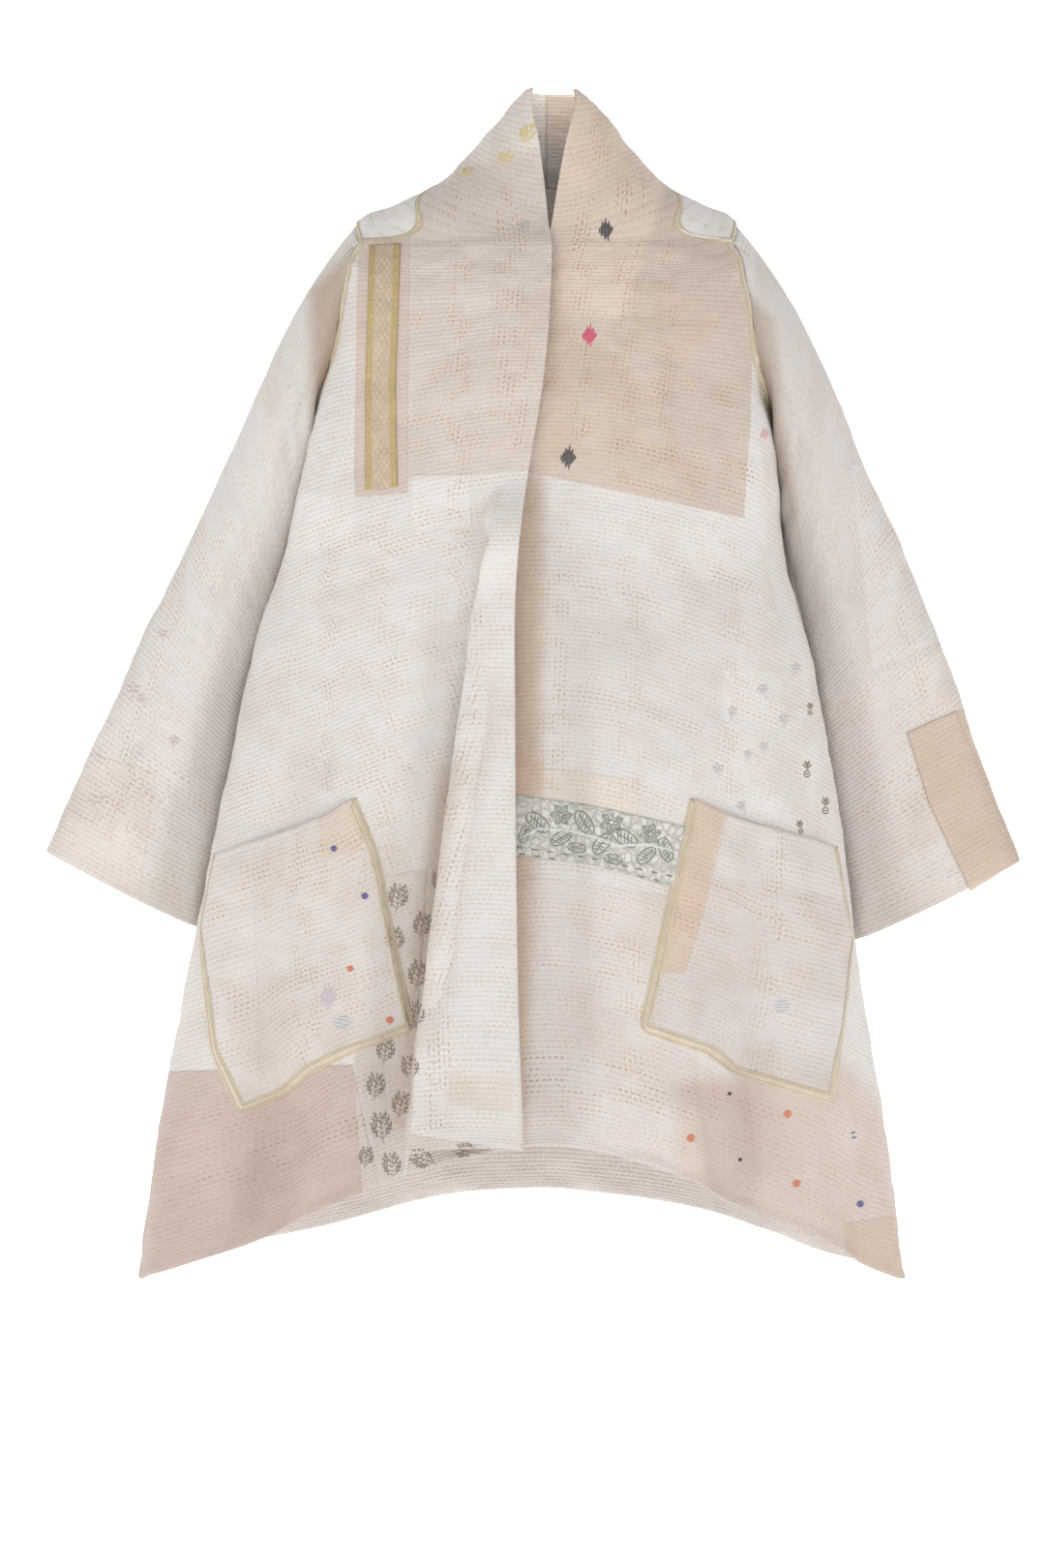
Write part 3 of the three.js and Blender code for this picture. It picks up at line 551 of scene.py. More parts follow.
    def back(self, rows: int, columns: int) -> Grid:
        """The back, which comes forward over the shoulders."""
        form = self.form
        top = NECK - 0.012
        over = np.linspace(1, 2, 18)[1:]
        column = np.concatenate([-over[::-1], np.linspace(-1, 1, columns), over])
        split = int(rows * 0.86)
        above = np.linspace(SHOULDER_TIP, top, rows - split)[1:]
        places = np.concatenate([np.linspace(0, SHOULDER_TIP, split), above])
        points, uv = [], []
        for place in places:
            value = form.ring(place)
            side = np.where(column < 0, -1, 1)
            quarter = np.where(side < 0, form.length(place, -1), form.length(place, 1))
            gap = self.half_gap(place) / quarter
            arm_back = 1 + np.clip(value["arm_back"], 0, 1)
            wide = np.abs(column)
            share = np.where(
                wide <= 1,
                2 + (arm_back + gap - 2) * wide,
                arm_back + (value["arm_front"] + gap - arm_back) * (wide - 1),
            )
            points.append(form.points(place, side * share))
            across = side * (2 - share) * quarter + BACK_MIDDLE
            uv.append(np.stack([across, np.full(len(column), self.height(place))], axis=-1))
        keep = np.ones((len(places) - 1, len(column) - 1), dtype=bool)
        keep[: split - 1, : len(over)] = False
        keep[: split - 1, -len(over) :] = False
        return Grid(np.array(points), np.array(uv), keep, -1)

    def armhole(self, side: int, turn: Array, inset: float, out: Array | float = 0.0) -> Array:
        """Points round an armhole: 0 the underarm, up the front, 0.5 the top, down the back.

        Args:
            side: -1 for the wearer's right, 1 for the left.
            turn: places on the loop.
            inset: how far into the panels, or into the hole when negative.
            out: how far off the cloth.

        Returns:
            Points in millimetres.
        """
        place, share = self._loop(turn)
        before_place, before_share = self._loop(turn - 0.02)
        after_place, after_share = self._loop(turn + 0.02)
        length = self.form.length(place, side)
        across = (after_share - before_share) * length
        up = (after_place - before_place) * RING_STEP
        long = np.hypot(across, up)
        moved = share - inset * up / long / length
        return self.form.points(place + inset * across / long / RING_STEP, side * moved, out)

    def _loop(self, turn: Array) -> tuple[Array, Array]:
        """Place and share of the armhole's loop."""
        t = np.mod(turn, 1)
        rise = np.where(t < 0.4, t / 0.4, np.where(t <= 0.6, 1.0, (1 - t) / 0.4))
        place = UNDERARM + (SHOULDER_TIP - UNDERARM) * rise
        front = np.clip(self.form.column("arm_front", place), 0, 1)
        back = 1 + np.clip(self.form.column("arm_back", place), 0, 1)
        over = np.clip((t - 0.4) / 0.2, 0, 1)
        share = np.where(t < 0.4, front, np.where(t > 0.6, back, front + (back - front) * over))
        return place, share

    def sleeve_points(self, side: int, place: Array, turn: Array) -> Array:
        """Points of a sleeve: place counts its table's rows, turn goes round as on the armhole."""
        t = np.mod(turn, 1)
        half = np.where(t <= 0.5, t, 1 - t)
        along = np.where(half < 0.4, 0.88 * half / 0.4, 0.88 + 0.12 * (half - 0.4) / 0.1)
        angle = np.pi * (1 - along)
        table = np.array(
            [[getattr(row, name) for name in SleeveRow.__annotations__] for row in SLEEVE_ROWS[side]]
        )
        ox, oz, ix, iz, depth, middle = between(table, place.ravel()).T.reshape((6,) + place.shape)
        dents = 0.0
        for down, around, width, deep in SLEEVE_DENTS:
            fade = smooth(place / 2) * smooth((place / 6 - down + 0.5) * 2)
            dents = dents + deep * bump((t - around) / width) * fade
        across = np.cos(angle)
        x, z = ((outer + inner + across * (outer - inner)) / 2 for outer, inner in ((ox, ix), (oz, iz)))
        deep = (depth + dents) * np.sin(angle) * np.where(t <= 0.5, -1, 1)
        tube = np.stack([x, middle + deep, z], axis=-1)
        low = 1 - smooth(half / 0.3)
        lift = 2.4 + 30 * np.maximum(place, 0) * (1 - np.minimum(place, 1))
        start = self.armhole(side, t, -1.5, low * lift)
        blend = np.where(place >= 1, 1.0, np.clip(place * (2 - place), 0, 1))[..., None]
        return start * (1 - blend) + tube * blend

    def sleeve(self, side: int, rows: int, columns: int) -> Grid:
        """A whole sleeve as a closed tube of rows."""
        place, turn = np.meshgrid(np.linspace(0, 6, rows), np.arange(columns) / columns, indexing="ij")
        points = self.sleeve_points(side, place, turn)
        along = lengths_along(points[:, columns // 4])
        up = SLEEVE_TOP - np.broadcast_to(along[:, None], turn.shape)
        uv = np.stack([turn * SLEEVE_GIRTH, up], axis=-1)
        return Grid(points, uv, np.ones((rows - 1, columns), dtype=bool), -1 if side > 0 else 1, closed=True)


def linear(hex_colour: str) -> tuple[float, float, float]:
    """An sRGB hex colour as linear values."""
    values = [int(hex_colour[i : i + 2], 16) / 255 for i in (1, 3, 5)]
    return tuple(v / 12.92 if v <= 0.04045 else ((v + 0.055) / 1.055) ** 2.4 for v in values)


# The kinds of node that are used most.
PLUS, MINUS, TIMES, SIZE_OF = "Math.ADD", "Math.SUBTRACT", "Math.MULTIPLY", "Math.ABSOLUTE"
SOFT_STEP, MIX = "MapRange.SMOOTHSTEP", "Mix.MIX"


class Nodes:
    """A material's node tree, filled one node at a time."""

    choices = {
        "Math": "operation",
        "VectorMath": "operation",
        "MapRange": "interpolation_type",
        "Mix": "blend_type",
        "TexNoise": "noise_dimensions",
        "TexWhiteNoise": "noise_dimensions",
        "TexVoronoi": "voronoi_dimensions",
    }
    colour_sockets = (0, 6, 7)
    colour_output = 2

    def __init__(self, name: str) -> None:
        """Makes an empty material with its shader."""
        self.material = bpy.data.materials.new(name)
        self.material.use_nodes = True
        self.tree = self.material.node_tree
        self.tree.nodes.clear()
        output = self.tree.nodes.new("ShaderNodeOutputMaterial")
        self.shader = self.tree.nodes.new("ShaderNodeBsdfPrincipled")
        self.tree.links.new(self.shader.outputs[0], output.inputs[0])

    def add(self, kind: str, *inputs: object, index: int = 0, **settings: object) -> bpy.types.NodeSocket:
        """Adds a node.

        Args:
            kind: the node's type after "ShaderNode", and after a full stop the choice made in it.
            inputs: a value or a socket for each input in turn, None to leave one as it is. A Mix node
                takes its factor and two colours.
            index: which output is returned.
            settings: the node's properties, and its inputs by name.

        Returns:
            The output socket.
        """
        kind, _, choice = kind.partition(".")
        node = self.tree.nodes.new("ShaderNode" + kind)
        if choice:
            setattr(node, self.choices[kind], choice)
        sockets = list(node.inputs)
        if kind == "Mix":
            node.data_type = "RGBA"
            sockets = [node.inputs[place] for place in self.colour_sockets]
            inputs = tuple((*value, 1.0) if isinstance(value, tuple) else value for value in inputs)
            index = self.colour_output
        for socket, value in zip(sockets, inputs):
            self.put(socket, value)
        for key, value in settings.items():
            if key in node.inputs:
                self.put(node.inputs[key], value)
            else:
                setattr(node, key, value)
        return node.outputs[index]

    def put(self, socket: bpy.types.NodeSocket, value: object) -> None:
        """Links an input to a socket or gives it a value, and leaves it as it is for None."""
        if isinstance(value, bpy.types.NodeSocket):
            self.tree.links.new(value, socket)
        elif value is not None:
            socket.default_value = value

    def finish(self, surface: dict[str, object]) -> bpy.types.Material:
        """Gives the shader its inputs by name and hands over the material."""
        for name, value in surface.items():
            self.put(self.shader.inputs[name], value)
        return self.material

    def inside(self, place: bpy.types.NodeSocket, outline: Outline, soft: float) -> bpy.types.NodeSocket:
        """How far a place lies inside a convex outline, from 0 outside to 1 inside.

        Args:
            place: a vector of X, Z and 1.
            outline: its corners.
            soft: the width of its edge in millimetres.

        Returns:
            The share.
        """
        corners = np.array(outline)
        middle = np.append(corners.mean(axis=0), 1.0)
        near: object = 1e4
        for (x0, z0), (x1, z1) in zip(corners, np.roll(corners, -1, axis=0)):
            side = np.array([z1 - z0, x0 - x1, x1 * z0 - x0 * z1]) / np.hypot(x1 - x0, z1 - z0)
            side = side * np.sign(side @ middle)
            beyond = self.add("VectorMath.DOT_PRODUCT", place, tuple(side), index=1)
            near = self.add("Math.MINIMUM", near, beyond)
        return self.add(SOFT_STEP, near, -soft / 2, soft / 2)


@dataclass(frozen=True)
class QuiltedCotton:
    """Washed cotton voile in three layers, sewn through with rows of running stitches.

    The cloth lies almost smooth: each row draws it in a little, and the worn threads show as short fine
    dashes in bands. front_view holds the place on the front view, rows and columns the thread colours.
    """

    name: str
    patches: tuple[Patch, ...]
    base: str = "#DCD7D4"
    row_pitch: float = 4.3
    stitch_pitch: float = 5.4
    stitch_share: float = 0.58
    ridge: float = 0.42
    thread_width: float = 0.17
    wander: float = 5.0

    def build(self) -> bpy.types.Material:
        """Makes the material."""
        n = Nodes(self.name)
        uv = n.add("UVMap", uv_map="cloth")
        u, v = n.add("SeparateXYZ", uv).node.outputs[:2]
        drift = n.add("TexNoise.2D", uv, None, 0.007, 1.0)
        drift = n.add(TIMES, n.add(MINUS, drift, 0.5), self.wander)
        level, level_line, level_gap = self.rows(n, n.add(PLUS, v, drift), u)
        upright, upright_line, _ = self.rows(n, n.add(PLUS, u, drift), v)
        colour, raised = self.patchwork(n, uv)
        cloud = n.add("TexNoise.2D", uv, None, 0.016, 4.0)
        stretched = n.add("VectorMath.MULTIPLY", uv, (0.2, 1.6, 1.0))
        slub = n.add("TexNoise.2D", stretched, None, 0.5, 3.0)
        shade = n.add("Mix.MULTIPLY", 1.0, colour, linear("#F1ECE7"))
        cloud = n.add(TIMES, n.add(SOFT_STEP, cloud, 0.4, 0.7), 0.45)
        colour = n.add(MIX, cloud, colour, shade)
        colour = n.add(MIX, n.add(TIMES, slub, 0.07), colour, linear("#B9AC9C"))
        shown = n.add(SOFT_STEP, n.add("TexNoise.2D", uv, None, 0.05, 2.0), 0.36, 0.6)
        for stitch, name in ((level, "rows"), (upright, "columns")):
            thread = n.add("Attribute", attribute_name=name)
            strength = n.add(TIMES, n.add("Attribute", attribute_name=name, index=3), shown)
            colour = n.add(MIX, n.add(TIMES, stitch, strength), colour, thread)
        gather = n.add("TexNoise.2D", n.add("VectorMath.MULTIPLY", uv, (0.8, 0.5, 1.0)), None, 0.25, 3.0)
        ridge = n.add(SOFT_STEP, level_gap, 0.05, 0.45)
        ridge = n.add(TIMES, ridge, n.add(PLUS, gather, 0.2))
        line = n.add("Math.MAXIMUM", level_line, n.add(TIMES, upright_line, 0.6))
        height = n.add(MINUS, n.add(TIMES, ridge, 0.6), n.add(TIMES, line, 0.35))
        height = n.add(PLUS, height, n.add(TIMES, gather, 1.3))
        height = n.add(PLUS, height, n.add(TIMES, raised, 1.2))
        weave = n.add("TexNoise.2D", uv, None, 1.5, 2.0)
        height = n.add(PLUS, height, n.add(TIMES, weave, 0.35))
        surface = {"Roughness": 0.92, "Sheen Weight": 0.08, "Specular IOR Level": 0.2, "Base Color": colour}
        return n.finish(surface | {"Normal": n.add("Bump", Distance=self.ridge * MM, Height=height)})

    def patchwork(self, n: Nodes, uv: bpy.types.NodeSocket) -> tuple:
        """The cloth's colour from its patches, and how far their layers raise it."""
        place = n.add("Attribute", attribute_name="front_view", index=1)
        fray = n.add("TexNoise.2D", uv, None, 0.3, 3.0, index=1)
        fray = n.add("VectorMath.SUBTRACT", fray, (0.5, 0.5, 0.5))
        fray = n.add("VectorMath.MULTIPLY", fray, (1.8, 1.8, 0.0))
        place = n.add("VectorMath.ADD", place, fray)
        colour = linear(self.base)
        raised: object = 0.0
        for patch in self.patches:
            share = n.inside(place, patch.outline, patch.soft)
            raised = n.add(PLUS, raised, n.add(TIMES, share, patch.layer))
            colour = n.add(MIX, n.add(TIMES, share, patch.strength), colour, linear(patch.colour))
            colour.node.label = patch.name
        return colour, raised

    def rows(self, n: Nodes, across: object, along: object) -> tuple:
        """Rows of running stitches: the stitches, the sunk lines they run in and the way to the line."""
        rows = n.add("Math.DIVIDE", across, self.row_pitch)
        chance = n.add("TexWhiteNoise.1D", None, n.add("Math.FLOOR", rows))
        count = n.add("Math.DIVIDE", along, self.stitch_pitch)
        count = n.add(PLUS, count, n.add(TIMES, chance, 7.0))
        dash = n.add("Math.FRACT", count)
        start = n.add(SOFT_STEP, dash, 0.04, 0.14)
        stop = n.add(SOFT_STEP, dash, self.stitch_share, self.stitch_share + 0.1)
        stop = n.add(MINUS, 1.0, stop)
        off_line = n.add(SIZE_OF, n.add(MINUS, n.add("Math.FRACT", rows), 0.5))
        line = n.add(SOFT_STEP, off_line, self.thread_width * 0.4, self.thread_width)
        line = n.add(MINUS, 1.0, line)
        stitch = n.add(TIMES, n.add(TIMES, start, stop), line)
        worn = n.add(PLUS, n.add(TIMES, chance, 0.7), 0.3)
        return n.add(TIMES, stitch, worn), stitch, off_line


@dataclass(frozen=True)
class TwillTape:
    """Cotton twill tape sewn down with two rows of small stitches near its edges."""

    name: str = "cotton twill tape"
    colour: str = "#CDBFA6"
    thread: str = "#A89272"
    width: float = 8.0
    stitch: float = 2.6

    def build(self) -> bpy.types.Material:
        """Makes the material."""
        n = Nodes(self.name)
        uv = n.add("UVMap", uv_map="cloth")
        u, v = n.add("SeparateXYZ", uv).node.outputs[:2]
        edge = n.add(SIZE_OF, n.add(MINUS, n.add(SIZE_OF, u), self.width / 2 - 1.8))
        line = n.add(MINUS, 1.0, n.add(SOFT_STEP, edge, 0.25, 0.55))
        dash = n.add("Math.FRACT", n.add("Math.DIVIDE", v, self.stitch))
        start = n.add(SOFT_STEP, dash, 0.1, 0.2)
        stop = n.add(MINUS, 1.0, n.add(SOFT_STEP, dash, 0.62, 0.75))
        on = n.add(TIMES, start, stop)
        stitch = n.add(TIMES, line, on)
        twill = n.add("Math.SINE", n.add(TIMES, n.add(PLUS, u, v), 2 * math.pi / 0.9))
        tone = n.add("TexNoise.2D", uv, None, 0.06, 3.0)
        worn = n.add(SOFT_STEP, tone, 0.3, 0.7)
        colour = n.add(MIX, worn, linear(self.colour), linear("#D6CAB5"))
        colour = n.add(MIX, n.add(TIMES, line, 0.35), colour, linear("#B9A98C"))
        colour = n.add(MIX, n.add(TIMES, stitch, 0.9), colour, linear(self.thread))
        height = n.add(TIMES, line, -0.45)
        height = n.add(PLUS, height, n.add(TIMES, stitch, 0.8))
        height = n.add(PLUS, height, n.add(TIMES, twill, 0.12))
        height = n.add(PLUS, height, n.add(TIMES, tone, 0.5))
        relief = n.add("Bump", Distance=0.35 * MM, Height=height)
        return n.finish({"Base Color": colour, "Normal": relief, "Roughness": 0.88})


@dataclass(frozen=True)
class Thread:
    """Stranded embroidery cotton, which has a slight sheen."""

    name: str
    colour: str

    def build(self) -> bpy.types.Material:
        """Makes the material."""
        n = Nodes(self.name)
        place = n.add("TexCoord", index=3)
        strand = n.add("TexNoise", place, None, 900.0, 2.0)
        colour = linear(self.colour)
        dark = tuple(c * 0.7 for c in colour)
        shade = n.add(MIX, strand, dark, tuple(min(c * 1.15, 1) for c in colour))
        relief = n.add("Bump", Distance=0.12 * MM, Height=strand)
        return n.finish({"Base Color": shade, "Normal": relief, "Roughness": 0.7})


@dataclass(frozen=True)
class Brocade:
    """Woven border: metallic thread floats on a cotton ground, with a rib for every few wefts, and painted
    highlights of glinting light on the metallic thread.

    chevrons gives it zigzag bands of metallic thread along both sides and a lattice of dots between them.
    """

    name: str
    ground: str
    thread: str
    painted_glint: str
    chevrons: bool = False
    half_width: float = 13.8

    def build(self) -> bpy.types.Material:
        """Makes the material."""
        n = Nodes(self.name)
        uv = n.add("UVMap", uv_map="cloth")
        u, v = n.add("SeparateXYZ", uv).node.outputs[:2]
        tone = n.add("TexNoise.2D", uv, None, 0.12, 4.0)
        floats = n.add("VectorMath.MULTIPLY", uv, (1.0, 0.35, 1.0))
        fleck = n.add("TexNoise.2D", floats, None, 0.9, 2.0)
        weft = n.add("Math.SINE", n.add(TIMES, v, 2 * math.pi / 1.3))
        figure = self.bands(n, u, v) if self.chevrons else self.leaves(n, uv, u, v)
        darker = tuple(c * 0.86 for c in linear(self.ground))
        worn = n.add(SOFT_STEP, tone, 0.3, 0.7)
        ground = n.add(MIX, worn, linear(self.ground), darker)
        colour = n.add(MIX, n.add(TIMES, figure, 0.9), ground, linear(self.thread))
        # Painted highlight: flecks of the glint colour mixed into the base colour stand in for light
        # glinting off the metallic thread.
        painted_shine = n.add(SOFT_STEP, fleck, 0.6, 0.72)
        painted_shine = n.add(TIMES, painted_shine, figure if self.chevrons else 0.35)
        colour = n.add(MIX, n.add(TIMES, painted_shine, 0.8), colour, linear(self.painted_glint))
        height = n.add(PLUS, n.add(TIMES, weft, 0.25), n.add(TIMES, figure, 0.8))
        height = n.add(PLUS, height, n.add(TIMES, tone, 1.4))
        surface = {"Base Color": colour, "Roughness": 0.5, "Metallic": n.add(TIMES, figure, 0.35)}
        return n.finish(surface | {"Normal": n.add("Bump", Distance=0.3 * MM, Height=height)})

    @staticmethod
    def leaves(n: Nodes, uv: object, u: object, v: object) -> bpy.types.NodeSocket:
        """Leaf outlines that fill the ground, with slanting hatching in the gaps between them."""
        shift = n.add("TexNoise.2D", uv, None, 0.1, 2.0, index=1)
        bent = n.add("VectorMath.ADD", uv, n.add("VectorMath.MULTIPLY", shift, (7.0, 7.0, 0.0)))
        cells = n.add("TexVoronoi.2D", bent, None, 0.13, feature="DISTANCE_TO_EDGE")
        outline = n.add(MINUS, 1.0, n.add(SOFT_STEP, cells, 0.05, 0.11))
        second = n.add(SIZE_OF, n.add(MINUS, cells, 0.2))
        inner = n.add(MINUS, 1.0, n.add(SOFT_STEP, second, 0.015, 0.04))
        slant = n.add(PLUS, u, n.add(TIMES, v, 1.2))
        slant = n.add("Math.FRACT", n.add("Math.DIVIDE", slant, 2.1))
        off = n.add(SIZE_OF, n.add(MINUS, slant, 0.5))
        hatch = n.add(MINUS, 1.0, n.add(SOFT_STEP, off, 0.14, 0.26))
        gaps = n.add(SOFT_STEP, n.add("TexNoise.2D", uv, None, 0.13, 2.0), 0.5, 0.58)
        figure = n.add("Math.MAXIMUM", outline, n.add(TIMES, inner, 0.5))
        hatch = n.add(TIMES, n.add(TIMES, hatch, gaps), 0.9)
        return n.add("Math.MAXIMUM", figure, hatch)

    def bands(self, n: Nodes, u: object, v: object) -> bpy.types.NodeSocket:
        """The zigzag bands and the dotted lattice, 1 where the metallic thread shows."""
        wide = n.add(SIZE_OF, u)
        from_edge = n.add(MINUS, self.half_width, wide)
        zigzag = n.add(TIMES, n.add("Math.PINGPONG", v, 2.6), 0.9)
        phase = n.add("Math.FRACT", n.add("Math.DIVIDE", n.add(PLUS, from_edge, zigzag), 1.7))
        off = n.add(SIZE_OF, n.add(MINUS, phase, 0.5))
        line = n.add(MINUS, 1.0, n.add(SOFT_STEP, off, 0.2, 0.34))
        edge = n.add(MINUS, 1.0, n.add(SOFT_STEP, from_edge, 5.6, 6.0))
        solid = n.add(TIMES, edge, n.add(PLUS, n.add(TIMES, line, 0.45), 0.55))
        lattice: object = 0.0
        for sign in (1.0, -1.0):
            cross = n.add("Math.DIVIDE", n.add(PLUS, u, n.add(TIMES, v, 0.6 * sign)), 5.2)
            off = n.add(SIZE_OF, n.add(MINUS, n.add("Math.FRACT", cross), 0.5))
            on = n.add(MINUS, 1.0, n.add(SOFT_STEP, off, 0.1, 0.18))
            lattice = n.add("Math.MAXIMUM", lattice, on)
        beat = n.add("Math.SINE", n.add(TIMES, v, 2 * math.pi / 1.5))
        dotted = n.add(SOFT_STEP, beat, -0.2, 0.3)
        inner = n.add(TIMES, n.add(TIMES, lattice, dotted), n.add(MINUS, 1.0, edge))
        return n.add("Math.MAXIMUM", solid, n.add(TIMES, inner, 0.8))


# The front view is read in steps of this many millimetres, with the part's origin at this step.
PHOTO_STEP = 0.86
ORIGIN_STEP = (565, 195)


def px(*points: tuple[float, float]) -> tuple[tuple[float, float], ...]:
    """Corners read on the front view, from its steps to X and Z in millimetres."""
    across, down = ORIGIN_STEP
    return tuple(((x - across) * PHOTO_STEP, (down - y) * PHOTO_STEP) for x, y in points)


@dataclass(frozen=True)
class Patch:
    """A layer of old cloth with its own colour, as a convex outline seen from the front; some patches are
    painted shade, shadow or light instead, as their names say.

    layer is 1 where its edge shows as a small step in the quilt, and 0 where only the colour changes.
    """

    name: str
    outline: Outline
    colour: str
    soft: float = 0.8
    strength: float = 1.0
    layer: float = 1.0


